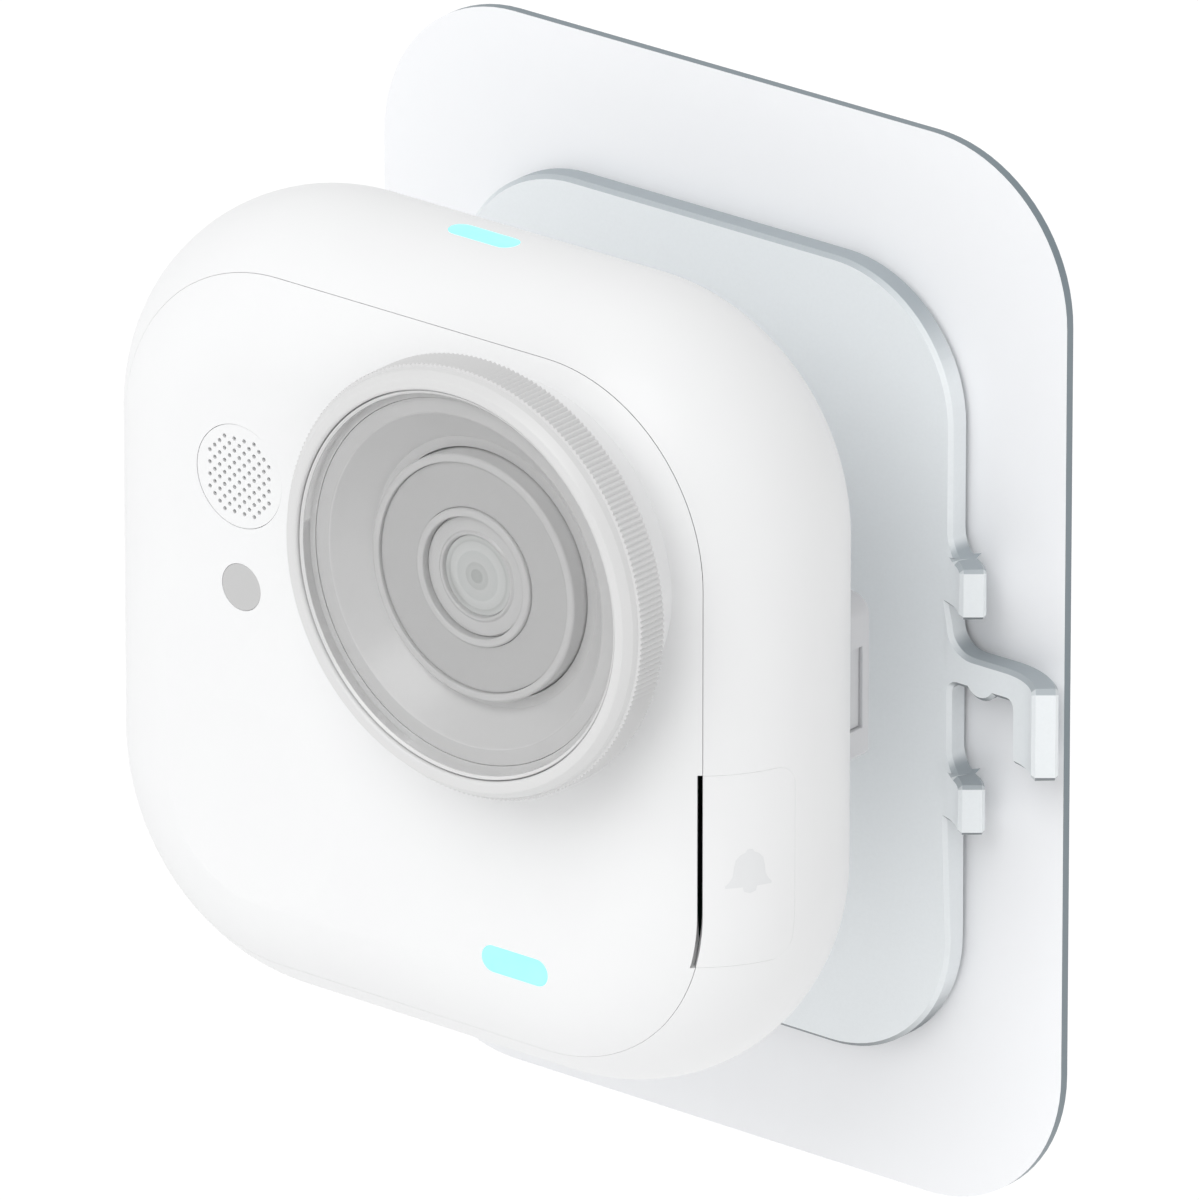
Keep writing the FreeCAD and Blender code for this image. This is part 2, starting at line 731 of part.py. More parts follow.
def make_lens_cell():
    """The tube of lens elements, its holder and the image sensor behind it."""
    cell = cut("lens_cell",
               rod("cell_tube", "cell_radius", "cell_front + cell_back", "0", "-cell_front"),
               rod("cell_mouth", "cell_lip", "20", "0", "-cell_front - 1"),
               rod("cell_hollow", "cell_bore", "20", "0", "-cell_front + cell_lip_thick"))
    case_node(cell, "lens_cell", "lens_x", "0", "lens_z")
    dome = doc.addObject("Part::Sphere", "front_lens_ball")
    bind(dome, "Radius", "front_lens_dome")
    place(dome, "0", "-cell_front + front_lens_dome", "0")
    front = common("front_lens", dome,
                   fuse("front_lens_blank",
                        rod("front_lens_boss", "cell_lip - 0.05", "2", "0", "-cell_front"),
                        rod("front_lens_flange", "cell_bore - 0.05",
                            "front_lens_thick - cell_lip_thick - 0.6",
                            "0", "-cell_front + cell_lip_thick + 0.7")))
    case_node(front, "front_lens", "lens_x", "0", "lens_z")
    for name, start, thick in (("middle_lens", "-middle_lens_place", "middle_lens_thick"),
                               ("rear_lens", "-rear_lens_place", "rear_lens_thick")):
        case_node(disc(name, "cell_bore - 0.05", thick), name, "lens_x", start, "lens_z")
    first = "-cell_front + front_lens_thick + 0.15"
    second = "-middle_lens_place + middle_lens_thick + 0.05"
    for name, long, start in (
            ("front_spacer", "cell_front - front_lens_thick - middle_lens_place - 0.2", first),
            ("rear_spacer", "middle_lens_place - middle_lens_thick - rear_lens_place - 0.1", second)):
        case_node(disc(name, "cell_bore - 0.05", long, "spacer_bore"), name, "lens_x", start, "lens_z")
    holder = cut("lens_holder", box("holder_block", "-8", "0.6", "-8", "16", "4.4", "16"),
                 rod("holder_bore", "cell_radius + 0.03", "3.05", "0", "0.6"),
                 box("holder_room", "-6", "3.7", "-6", "12", "2", "12"))
    case_node(holder, "lens_holder", "lens_x", "0", "lens_z")
    case_node(slab("image_sensor", "8", "7", "1.2"), "image_sensor", "lens_x", "3.8", "lens_z")
    board = slab("camera_board_blank", "camera_board_side", "camera_board_side", "1", "2")
    place(board, "0", "5", "0")
    bores = []
    screws = []
    for index, (x, z) in enumerate(case_corners()):
        place_x = f"{x}camera_post"
        place_z = f"{z}camera_post"
        bores.append(rod(f"camera_board_bore_{index}", "0.9", "3", place_x, "4", place_z))
        head = rod(f"camera_head_{index}", "1.5", "0.9", place_x, "6", place_z)
        stem = rod(f"camera_stem_{index}", "0.75", "5.2", place_x, "0.8", place_z)
        screws.append(fuse(f"camera_screw_{index}", head, stem))
    case_node(cut("camera_board", board, *bores), "camera_board", "lens_x", "0", "lens_z")
    case_node(group("camera_screws", screws), "camera_screws", "lens_x", "0", "lens_z")


# ---------------------------------------------------------------- front fittings

def make_speaker():
    """The pierced grille, its rubber seal and the driver behind it."""
    plate = disc("grille_plate", "grille_radius", "grille_thick")
    holes = []
    middle = (len(GRILLE_COLUMNS) - 1) / 2
    for column, count in enumerate(GRILLE_COLUMNS):
        for row in range(count):
            across = column - middle
            up = row - (count - 1) / 2
            holes.append(rod(f"grille_hole_{column}_{row}", "grille_hole", "3",
                             f"grille_column * {across}", "-1", f"grille_pitch * {up}"))
    pierced = cut("speaker_grille", plate, group("grille_holes", holes))
    case_node(pierced, "speaker_grille", "grille_x", "-case_nose + 0.05", "grille_z")
    case_node(disc("speaker_seal", "speaker_radius", "speaker_seal", "grille_radius + 0.3"),
              "speaker_seal", "grille_x", "-case_nose + case_wall", "grille_z")
    case_node(disc("speaker_driver", "speaker_radius", "speaker_thick"),
              "speaker_driver", "grille_x", "-case_nose + case_wall + speaker_seal", "grille_z")


def make_motion_sensor():
    case_node(disc("motion_window", "window_radius", "window_thick"),
              "motion_window", "window_x", "-case_nose + 0.02", "window_z")
    case_node(disc("motion_sensor", "window_radius - 0.1", "2.6"),
              "motion_sensor", "window_x", "-case_nose + case_wall + 0.1", "window_z")
    case_node(slab("sensor_board", "9", "5.4", "0.8"),
              "sensor_board", "window_x", "-case_nose + case_wall + 2.7", "window_z")


def make_light_guides(outer):
    """The two lit pills, each cut to the case's own surface."""
    front = slab("front_pill", "pill_wide", "pill_tall", "5", "pill_tall / 2 - 0.02")
    place(front, "pill_x", "-5.4", "pill_z")
    case_node(common("front_light_guide", outer, front), "front_light_guide")
    case_node(slab("front_led", "5", "1.6", "0.8"), "front_led", "pill_x", "-0.4", "pill_z")
    case_node(slab("front_led_board", "14", "5", "0.8", "1"),
              "front_led_board", "pill_x", "0.4", "pill_z")
    top = slab("top_pill", "pill_wide", "pill_tall", "5", "pill_tall / 2 - 0.02")
    top.Placement.Rotation = FreeCAD.Rotation(FreeCAD.Vector(1, 0, 0), 90)
    place(top, "0", "mid_depth", "case_wide / 2 - 3.4")
    case_node(common("top_light_guide", outer, top), "top_light_guide")
    case_node(box("top_led", "0", "0", "0", "5", "1.6", "0.8"), "top_led",
              "-2.5", "mid_depth - 0.8", "case_wide / 2 - 4.2")
    case_node(box("top_led_board", "0", "0", "0", "14", "5", "0.8"), "top_led_board",
              "-7", "mid_depth - 2.5", "case_wide / 2 - 5")


def make_touch_electrode():
    case_node(disc("touch_electrode", "dish_radius - 4", "0.3"),
              "touch_electrode", "dish_x", "-case_nose + case_wall", "dish_z")


# ---------------------------------------------------------------- side key

def make_side_button(outer, inner):
    """The side key: a piece of the case's own surface, with a rib that works the switch."""
    blank = key_blank("key_blank", "key_fit")
    place(blank, "key_inner", "0", "key_top - key_tall / 2")
    front = box("key_front", "30", "seam / 2", "-50", "20", "10", "100")
    skin = cut("key_skin", common("key_piece", blank, front, outer), inner)
    rib = common("key_rib", outer,
                 box("key_rib_block", "35", "switch_depth - 1.5", "key_top - key_tall / 2 - 2",
                     "5", "3", "4"))
    case_node(fuse("side_button", skin, rib), "side_button")
    middle = "key_top - key_tall / 2"
    plunger = side_rod("switch_plunger", "plunger_radius", "35 - switch_front + 0.6",
                       "switch_front - 0.6", "switch_depth", middle)
    case_node(plunger, "switch_plunger", "switch_front - 0.6", "switch_depth", middle)
    body = box("switch_block", "switch_front - 4.1", "switch_depth - 2.6", f"{middle} - 3", "4.1", "5.2", "6")
    bore = side_rod("switch_bore", "plunger_radius + 0.08", "4", "switch_front - 1.2", "switch_depth", middle)
    case_node(cut("button_switch", body, bore), "button_switch")
    case_node(box("button_board", "0", "0", "0", "1", "6.8", "14"), "button_board",
              "switch_front - 5.1", "switch_depth - 3.8", f"{middle} - 7")


# ---------------------------------------------------------------- electronics

def make_boards():
    board = slab("main_board_blank", "board_wide", "board_wide", "board_thick", "board_corner")
    place(board, "0", "board_front", "0")
    bores = corner_rods("board_bore", "screw_bore + 0.1", "board_front - 1", "board_front + 3")
    case_node(cut("main_board", board, *bores), "main_board")
    rear = "board_front + board_thick"
    case_node(slab("shield_can", "26", "20", "1.9", "1"), "shield_can", "-12", rear, "12")
    case_node(slab("battery_connector", "8", "5", "2.2"), "battery_connector", "14", rear, "-27.5")
    case_node(box("wifi_antenna", "0", "0", "0", "0.4", "8", "24"),
              "wifi_antenna", "-38.4", "7.4", "-12")
    case_node(box("microphone", "0", "0", "0", "4", "3", "1.2"),
              "microphone", "-2", "mid_depth - 1.5", "-39.2")


def make_battery():
    """The flat battery in its open tray, with a foam pad against the rear cover."""
    battery = slab("battery_pack", "battery_wide", "battery_tall", "battery_thick", "3")
    case_node(battery, "battery_pack", "0", "battery_front", "0")
    wide = "battery_wide + 2 * tray_gap"
    tall = "battery_tall + 2 * tray_gap"
    outer = slab("tray_out", f"{wide} + 2 * tray_wall", f"{tall} + 2 * tray_wall", "tray_deep", "4.4")
    inner = slab("tray_in", wide, tall, "tray_deep", "3.4")
    place(inner, "0", "tray_wall", "0")
    case_node(cut("battery_tray", outer, inner), "battery_tray", "0", "battery_front - tray_wall - 0.05", "0")
    room = "case_thick - case_nose - case_wall - battery_front - battery_thick"
    case_node(slab("battery_pad", "36", "36", room, "3"),
              "battery_pad", "0", "battery_front + battery_thick", "0")


def make_charging():
    shell = slab("socket_shell", "socket_wide", "socket_tall", "8.2", "socket_tall / 2 - 0.02")
    room = slab("socket_room", "socket_wide - 0.6", "socket_tall - 0.6", "6.5", "socket_tall / 2 - 0.32")
    socket = cut("charge_socket", shell, place(room, "0", "2", "0"))
    case_node(socket, "charge_socket", "0", "17.6", "socket_z")
    case_node(slab("charge_board", "20", "9", "1", "1"), "charge_board", "0", "16.6", "socket_z - 2.2")


# ---------------------------------------------------------------- rear bar and latch

def make_rear_bar(outer):
    """The bar across the back that sits between the plate's tabs, with the latch in its right end."""
    body = doc.addObject("PartDesign::Body", "bar_block")
    sketch = new_sketch(body, "bar_section", "YZ_Plane")
    sketch_rectangle(sketch, "2 * (bar_back - mid_depth)", "bar_tall")
    pad = body.newObject("PartDesign::Pad", "bar_pad")
    pad.Profile = sketch
    bind(pad, "Length", "2 * bar_half")
    pad.Midplane = True
    doc.recompute()
    top = edges_where(pad, lambda edge: runs_along(edge, 1) and edge.BoundBox.ZMin > 0)
    dress(body, "Fillet", pad, top, "Radius", "bar_round")
    low = edges_where(body.Tip, lambda edge: runs_along(edge, 1) and edge.BoundBox.ZMax < 0)
    dress(body, "Fillet", body.Tip, low, "Radius", "bar_low_round")
    back = size("bar_back") - size("mid_depth")
    rear = edges_where(body.Tip, lambda edge: at_depth(edge, back))
    dress(body, "Chamfer", body.Tip, rear, "Size", "bar_lead")
    place(body, "0", "mid_depth", "bar_bottom + bar_tall / 2")
    behind = box("bar_slice", "-50", "20", "-50", "100", "20", "100")
    bar = cut("bar_trim", common("bar_rear", body, behind), outer)
    tools = [
        box("latch_room", "pawl_step - latch_fit", "latch_deep - latch_fit", "latch_low",
            "10", "latch_back - latch_deep + latch_fit", "latch_tall"),
        box("latch_tail_room", "pawl_tail - 6", "pawl_tail_deep - latch_fit", "latch_low",
            "14", "latch_back - pawl_tail_deep + latch_fit", "latch_tall"),
    ]
    middle = "bar_bottom + bar_tall / 2"
    screws = []
    for index, x in enumerate(BAR_SCREWS):
        tools.append(rod(f"bar_screw_hole_{index}", "1.1", "10", x, "20", middle))
        tools.append(rod(f"bar_screw_well_{index}", "2.05", "4", x, "bar_back - 1.3", middle))
        screws.append(screw(f"bar_screw_{index}", "0.78", "3", x, "bar_back - 1.3", middle))
    case_node(cut("rear_bar", bar, *tools), "rear_bar")
    case_node(group("bar_screws", screws), "bar_screws")


def make_latch():
    """The sliding pawl in the bar's side window, and the leaf spring that draws it back."""
    inset = "latch_fit"
    nose = box("pawl_nose_block", "pawl_step", "latch_deep", f"latch_low + {inset}",
               "pawl_nose - pawl_step", f"latch_back - latch_deep - {inset}", f"latch_tall - 2 * {inset}")
    tail = box("pawl_tail_block", "pawl_tail", "pawl_tail_deep", f"latch_low + {inset}",
               "pawl_step - pawl_tail + 0.1", f"latch_back - pawl_tail_deep - {inset}",
               f"latch_tall - 2 * {inset}")
    case_node(fuse("latch_pawl", nose, tail), "latch_pawl")
    case_node(box("latch_spring", "0", "0", "0", "5.4", "0.3", "5"), "latch_spring",
              "pawl_tail - 5.7", "pawl_tail_deep + 0.2", "latch_low + 1.8")


def build():
    make_backing_sheet()
    make_adhesive_pad()
    make_mounting_plate()
    outer = pillow("case_outer", "0")
    inner = pillow("case_inner", "case_wall")
    scoop = thumb_scoop()
    make_front_cover(outer, inner)
    make_main_housing(outer, inner, scoop)
    make_rear_cover(outer, inner, scoop)
    make_case_seal("front_seal", "-seam / 2 - seal_depth")
    make_case_seal("rear_seal", "part_line - seam / 2")
    make_case_screws()
    make_lens_ring()
    make_lens_barrel()
    make_lens_face()
    make_lens_cell()
    make_speaker()
    make_motion_sensor()
    make_light_guides(outer)
    make_touch_electrode()
    make_side_button(outer, inner)
    make_boards()
    make_battery()
    make_charging()
    make_rear_bar(outer)
    make_latch()
    doc.recompute()


def check():
    """Stop if any object failed to build or any sub-part is not a sound solid."""
    for item in doc.Objects:
        if "Invalid" in item.State or "Error" in item.State:
            raise RuntimeError(f"{item.Label} failed: {item.State}")
    for item in NODES:
        if item.Shape.isNull() or not item.Shape.isValid() or not item.Shape.Solids:
            raise RuntimeError(f"{item.Label} is not a sound solid")


def write():
    os.makedirs("parts", exist_ok=True)
    for item in NODES:
        item.Shape.exportStep(f"parts/{item.Label}.step")
        box_of = item.Shape.BoundBox
        print(f"{item.Label:20s} solids {len(item.Shape.Solids)} volume {item.Shape.Volume:9.1f}"
              f"  x {box_of.XMin:7.2f} {box_of.XMax:7.2f}  y {box_of.YMin:7.2f} {box_of.YMax:7.2f}"
              f"  z {box_of.ZMin:7.2f} {box_of.ZMax:7.2f}")


build()
check()
write()
print(len(NODES), "sub-parts")
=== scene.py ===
import math

import bpy
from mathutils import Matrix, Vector
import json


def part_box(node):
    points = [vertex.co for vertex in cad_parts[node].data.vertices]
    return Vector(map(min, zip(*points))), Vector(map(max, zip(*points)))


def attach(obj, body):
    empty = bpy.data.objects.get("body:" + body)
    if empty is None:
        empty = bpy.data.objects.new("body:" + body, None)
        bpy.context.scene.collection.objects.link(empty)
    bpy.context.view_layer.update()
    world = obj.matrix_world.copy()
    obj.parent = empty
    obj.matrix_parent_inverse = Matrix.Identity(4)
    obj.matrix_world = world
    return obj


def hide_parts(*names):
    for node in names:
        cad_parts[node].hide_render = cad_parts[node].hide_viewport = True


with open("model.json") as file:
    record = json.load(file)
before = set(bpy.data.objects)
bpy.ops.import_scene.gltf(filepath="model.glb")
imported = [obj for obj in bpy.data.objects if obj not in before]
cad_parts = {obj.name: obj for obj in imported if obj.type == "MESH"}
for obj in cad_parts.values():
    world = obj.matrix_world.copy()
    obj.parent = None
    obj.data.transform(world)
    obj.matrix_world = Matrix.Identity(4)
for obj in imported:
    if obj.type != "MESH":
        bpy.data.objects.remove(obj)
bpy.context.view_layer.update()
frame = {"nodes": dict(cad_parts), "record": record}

# ---------------------------------------------------------------- sizes, in metres

MM = 0.001
CASE_LOW, CASE_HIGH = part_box("main_housing")
CASE_MIDDLE = (CASE_LOW + CASE_HIGH) / 2
CASE_HALF = (CASE_HIGH.x - CASE_LOW.x) / 2
CASE_THICK = 29.8 * MM
CASE_CORNER = 25 * MM
CASE_WALL = 2 * MM
FACE_Y = CASE_MIDDLE.y - CASE_THICK / 2
FRONT_SEAM = CASE_LOW.y - 0.1 * MM
REAR_SEAM = CASE_HIGH.y + 0.1 * MM
HALF_GAP = 0.018 * MM

RING_LOW, RING_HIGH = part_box("lens_ring")
LENS = (RING_LOW + RING_HIGH) / 2
RING_RADIUS = (RING_HIGH.x - RING_LOW.x) / 2
KEY_LOW, KEY_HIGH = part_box("side_button")
PILL_LOW, PILL_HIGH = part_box("front_light_guide")
TOP_PILL_LOW, TOP_PILL_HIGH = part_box("top_light_guide")
GRILLE_LOW, GRILLE_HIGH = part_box("speaker_grille")
WINDOW_LOW, WINDOW_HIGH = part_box("motion_window")
DISH_LOW, DISH_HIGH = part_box("touch_electrode")
PLATE_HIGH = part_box("mounting_plate")[1]
SOCKET_LOW, SOCKET_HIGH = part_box("charge_socket")
COLLAR_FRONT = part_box("front_cover")[0].y

COLLAR_RADIUS = 18.5 * MM
SPIGOT_BORE = 11.5 * MM
DISH_RADIUS, DISH_DEPTH = 11.5 * MM, 0.5 * MM
KEY_SLOT = 0.34 * MM
KEY_SLOT_DEPTH = 0.5 * MM
KEY_INNER_X, BEYOND_X = 35.3 * MM, 50 * MM
SCREW_PLACE, SCREW_WELL = 28 * MM, 2.05 * MM
SCOOP_RADIUS = 6 * MM
SCOOP_PLACE = Vector((33.2, -25.35, -32.5)) * MM


# ---------------------------------------------------------------- modelling helpers

def clear_selection():
    if bpy.context.object and bpy.context.object.mode != "OBJECT":
        bpy.ops.object.mode_set(mode="OBJECT")
    bpy.ops.object.select_all(action="DESELECT")


def take(piece):
    """Make one object the only selected and active one."""
    clear_selection()
    piece.select_set(True)
    bpy.context.view_layer.objects.active = piece
    return piece


def settle(piece):
    """Put the object's origin at the frame's, unturned and unscaled."""
    take(piece)
    bpy.ops.object.transform_apply(location=True, rotation=True, scale=True)
    return piece


def pick(piece, kind, test):
    """Select, in edit mode, the faces, edges or vertices that pass a test."""
    take(piece)
    bpy.ops.object.mode_set(mode="EDIT")
    bpy.ops.mesh.select_mode(type={"faces": "FACE", "edges": "EDGE", "vertices": "VERT"}[kind])
    bpy.ops.mesh.select_all(action="DESELECT")
    bpy.ops.object.mode_set(mode="OBJECT")
    mesh = piece.data
    for item in getattr(mesh, {"faces": "polygons"}.get(kind, kind)):
        if kind == "edges":
            item.select = test(*(mesh.vertices[end].co for end in item.vertices))
        else:
            item.select = test(item)
    bpy.ops.object.mode_set(mode="EDIT")


def leave():
    bpy.ops.object.mode_set(mode="OBJECT")


def apply(piece, kind, **settings):
    """Add a modifier, set it and apply it."""
    take(piece)
    modifier = piece.modifiers.new(kind.title(), kind)
    for name, value in settings.items():
        setattr(modifier, name, value)
    bpy.ops.object.modifier_apply(modifier=modifier.name)
    return piece


def carve(piece, *tools, how="DIFFERENCE"):
    """Cut tools from a piece, or join them to it, and drop the tools."""
    for tool in tools:
        apply(piece, "BOOLEAN", object=tool, operation=how, solver="EXACT")
        bpy.data.objects.remove(tool)
    return piece


def cylinder(radius, low_y, high_y, x, z, sides=96):
    """A round bar along Y between two depths."""
    clear_selection()
    bpy.ops.mesh.primitive_cylinder_add(vertices=sides, radius=radius, depth=high_y - low_y,
                                        location=(x, (low_y + high_y) / 2, z), rotation=(math.pi / 2, 0, 0))
    return settle(bpy.context.object)


def block(low, high):
    """A plain block between two corners."""
    clear_selection()
    bpy.ops.mesh.primitive_cube_add(size=1, location=(Vector(low) + Vector(high)) / 2)
    piece = bpy.context.object
    piece.scale = Vector(high) - Vector(low)
    return settle(piece)


def rounded_block(low, high, axis, radius, steps=12):
    """A block whose four edges along one axis are rounded."""
    piece = block(low, high)
    others = [other for other in range(3) if other != axis]
    pick(piece, "edges", lambda a, b: all(abs(a[other] - b[other]) < 1e-6 for other in others))
    bpy.ops.mesh.bevel(offset=radius, segments=steps)
    leave()
    return piece


def smooth(piece, degrees=30):
    take(piece)
    bpy.ops.object.shade_smooth_by_angle(angle=math.radians(degrees))
    return piece


def finished(piece, name, body, material, *nodes, slot=None):
    """Name a piece, give it its finish and hang it on its body."""
    piece.name = name
    piece.data.name = name
    piece.data.materials.clear()
    piece.data.materials.append(material)
    if nodes:
        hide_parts(*nodes)
    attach(piece, body)
    return piece


# ---------------------------------------------------------------- materials

def linear(colour):
    """An sRGB hex colour as linear red, green, blue and alpha."""
    parts = [int(colour[place:place + 2], 16) / 255 for place in (1, 3, 5)]
    return [part / 12.92 if part <= 0.04045 else ((part + 0.055) / 1.055) ** 2.4 for part in parts] + [1.0]


def add(tree, kind, inputs=None, **settings):
    """Add a shader node, set its properties, and set or link its inputs."""
    item = tree.nodes.new(kind)
    for name, value in settings.items():
        setattr(item, name, value)
    for name, value in (inputs or {}).items():
        if isinstance(value, bpy.types.NodeSocket):
            tree.links.new(value, item.inputs[name])
        else:
            item.inputs[name].default_value = value
    return item


def new_material(name, **shader):
    """A material with a Principled shader, and its tree, shader and object coordinates in millimetres."""
    material = bpy.data.materials.new(name)
    material.use_nodes = True
    tree = material.node_tree
    surface = tree.nodes["Principled BSDF"]
    for socket, value in shader.items():
        surface.inputs[socket.replace("_", " ")].default_value = value
    where = add(tree, "ShaderNodeTexCoord")
    millimetres = add(tree, "ShaderNodeVectorMath", {0: where.outputs["Object"], 1: (1000, 1000, 1000)},
                      operation="MULTIPLY")
    return material, tree, surface, millimetres.outputs["Vector"], where


def blend_colours(tree, share, first, second):
    """A colour between two others, each a socket or an sRGB hex value."""
    pair = [linear(colour) if isinstance(colour, str) else colour for colour in (first, second)]
    mix = add(tree, "ShaderNodeMix", {"Factor": share, 6: pair[0], 7: pair[1]}, data_type="RGBA")
    return mix.outputs[2]


def mottle(tree, surface, place, colour, other, grain):
    """Let the base colour drift between two near shades over a grain in millimetres."""
    noise = add(tree, "ShaderNodeTexNoise", {"Vector": place, "Scale": 1 / grain, "Detail": 3.0})
    shade = blend_colours(tree, noise.outputs["Fac"], colour, other)
    tree.links.new(shade, surface.inputs["Base Color"])
    return shade


def grain_bump(tree, surface, place, grain, height, strength=0.3):
    """A fine raised grain, its spacing and height in millimetres."""
    noise = add(tree, "ShaderNodeTexNoise", {"Vector": place, "Scale": 1 / grain, "Detail": 2.0})
    bump = add(tree, "ShaderNodeBump", {"Height": noise.outputs["Fac"], "Distance": height * MM,
                                        "Strength": strength})
    tree.links.new(bump.outputs["Normal"], surface.inputs["Normal"])


def moulded_abs():
    # ABS from a spark-eroded mould: satin, near white, with a 0.35 mm orange-peel that softens highlights.
    material, tree, surface, place, _ = new_material("moulded_white_abs", Roughness=0.42, IOR=1.53)
    mottle(tree, surface, place, "#EAEBEB", "#E8E8E9", 9.0)
    grain_bump(tree, surface, place, 0.35, 0.01, 0.25)
    return material


def satin_grey_abs():
    # The same plastic coloured light grey, a little glossier where fingers turn it.
    material, tree, surface, place, _ = new_material("satin_grey_abs", Roughness=0.36, IOR=1.53)
    mottle(tree, surface, place, "#D3D3D3", "#D0D0D0", 6.0)
    grain_bump(tree, surface, place, 0.3, 0.008, 0.2)
    return material


def polished_grey_pc():
    # Polished polycarbonate of the lens cell: smooth and pale grey.
    material, tree, surface, place, _ = new_material("polished_grey_polycarbonate", Roughness=0.22, IOR=1.58)
    mottle(tree, surface, place, "#CACACA", "#C6C6C6", 8.0)
    return material


def pale_trim():
    # Glossy trim rings: pale grey, with a crisp highlight along their rounded edges.
    material, tree, surface, place, _ = new_material("metallised_trim", Roughness=0.18, IOR=1.5)
    mottle(tree, surface, place, "#CDCDCD", "#CACACA", 5.0)
    return material


def infrared_acrylic():
    # Infrared-passing acrylic: flat light grey with a smooth gloss.
    material, tree, surface, place, _ = new_material("infrared_acrylic", Roughness=0.15, IOR=1.49)
    mottle(tree, surface, place, "#BFBFBF", "#BCBCBC", 7.0)
    return material


def cover_glass_coated():
    # Coated float glass: nearly clear, with one faint reflection.
    material = bpy.data.materials.new("coated_glass")
    material.use_nodes = True
    tree = material.node_tree
    tree.nodes.clear()
    clear = add(tree, "ShaderNodeBsdfTransparent", {"Color": linear("#FCFCFC")})
    gloss = add(tree, "ShaderNodeBsdfGlossy", {"Color": linear("#FFFFFF"), "Roughness": 0.02})
    fresnel = add(tree, "ShaderNodeFresnel", {"IOR": 1.2})
    both = add(tree, "ShaderNodeMixShader", {0: fresnel.outputs[0], 1: clear.outputs[0], 2: gloss.outputs[0]})
    add(tree, "ShaderNodeOutputMaterial", {"Surface": both.outputs[0]})
    return material


def lens_glass():
    # Multi-coated optical glass: pale grey, with rings painted into its colour for the stops and edges of the
    # glasses behind seen through it: painted reflections.
    material, tree, surface, place, _ = new_material("optical_glass", Roughness=0.05, IOR=1.5)
    middle = add(tree, "ShaderNodeVectorMath", {0: place, 1: (LENS.x * 1000, 0, LENS.z * 1000)},
                 operation="SUBTRACT")
    flat = add(tree, "ShaderNodeVectorMath", {0: middle.outputs["Vector"], 1: (1, 0, 1)},
               operation="MULTIPLY")
    radius = add(tree, "ShaderNodeVectorMath", {0: flat.outputs["Vector"]}, operation="LENGTH")
    share = add(tree, "ShaderNodeMath", {0: radius.outputs["Value"], 1: 4.1}, operation="DIVIDE")
    ramp = add(tree, "ShaderNodeValToRGB", {"Fac": share.outputs[0]})
    # Painted reflections: bright and dark rings by radius from the lens axis, where the stops and lens edges
    # behind would show through.
    shades = ((0.0, "#B0B2B1"), (0.17, "#ACAEAD"), (0.19, "#BEC0BF"), (0.34, "#B8BAB9"), (0.36, "#C6C8C7"),
              (0.62, "#C2C5C4"), (0.65, "#CCCECD"), (0.84, "#C6C8C7"), (0.87, "#B8BAB9"), (1.0, "#CACCCB"))
    while len(ramp.color_ramp.elements) < len(shades):
        ramp.color_ramp.elements.new(0.5)
    for element, (position, colour) in zip(ramp.color_ramp.elements, shades):
        element.position = position
        element.color = linear(colour)
    tree.links.new(ramp.outputs["Color"], surface.inputs["Base Color"])
    surface.inputs["Coat Weight"].default_value = 0.4
    surface.inputs["Coat Roughness"].default_value = 0.02
    return material


def well_plastic():
    # The well's moulded wall: satin pale grey; its sloped wall is painted a little paler than the front-facing
    # flat rim that frames it, painted light by face direction.
    material, tree, surface, _, where = new_material("satin_well_polycarbonate", Roughness=0.3, IOR=1.58)
    split = add(tree, "ShaderNodeSeparateXYZ", {"Vector": where.outputs["Normal"]})
    # Painted light: faces turned to the front take the darker grey, the rest the paler one.
    facing = add(tree, "ShaderNodeMath", {0: split.outputs["Y"], 1: -0.93}, operation="LESS_THAN")
    shade = blend_colours(tree, facing.outputs[0], "#DADADA", "#CACACA")
    tree.links.new(shade, surface.inputs["Base Color"])
    return material


def blasted_aluminium():
    # Bead-blasted and lacquered aluminium: pale faces with a fine grain, and edges facing up and down painted
    # darker by their direction alone: painted shade.
    material, tree, surface, place, where = new_material("bead_blasted_aluminium",
                                                         Roughness=0.5, Metallic=0.1)
    speck = add(tree, "ShaderNodeTexNoise", {"Vector": place, "Scale": 2.4, "Detail": 4.0, "Roughness": 0.7})
    face = blend_colours(tree, speck.outputs["Fac"], "#E6EAEC", "#EDF1F3")
    split = add(tree, "ShaderNodeSeparateXYZ", {"Vector": where.outputs["Normal"]})
    # Painted shade: up-facing edges blend towards #A3ABB0 and down-facing edges towards the much darker #5A6166.
    height = split.outputs["Z"]
    up = add(tree, "ShaderNodeMapRange", {"Value": height, "From Min": 0.25, "From Max": 0.85},
             interpolation_type="SMOOTHSTEP")
    down = add(tree, "ShaderNodeMapRange", {"Value": height, "From Min": -0.25, "From Max": -0.85},
               interpolation_type="SMOOTHSTEP")
    upper = blend_colours(tree, up.outputs[0], face, "#A3ABB0")
    lower = blend_colours(tree, down.outputs[0], upper, "#5A6166")
    tree.links.new(lower, surface.inputs["Base Color"])
    grain_bump(tree, surface, place, 0.4, 0.012, 0.3)
    return material


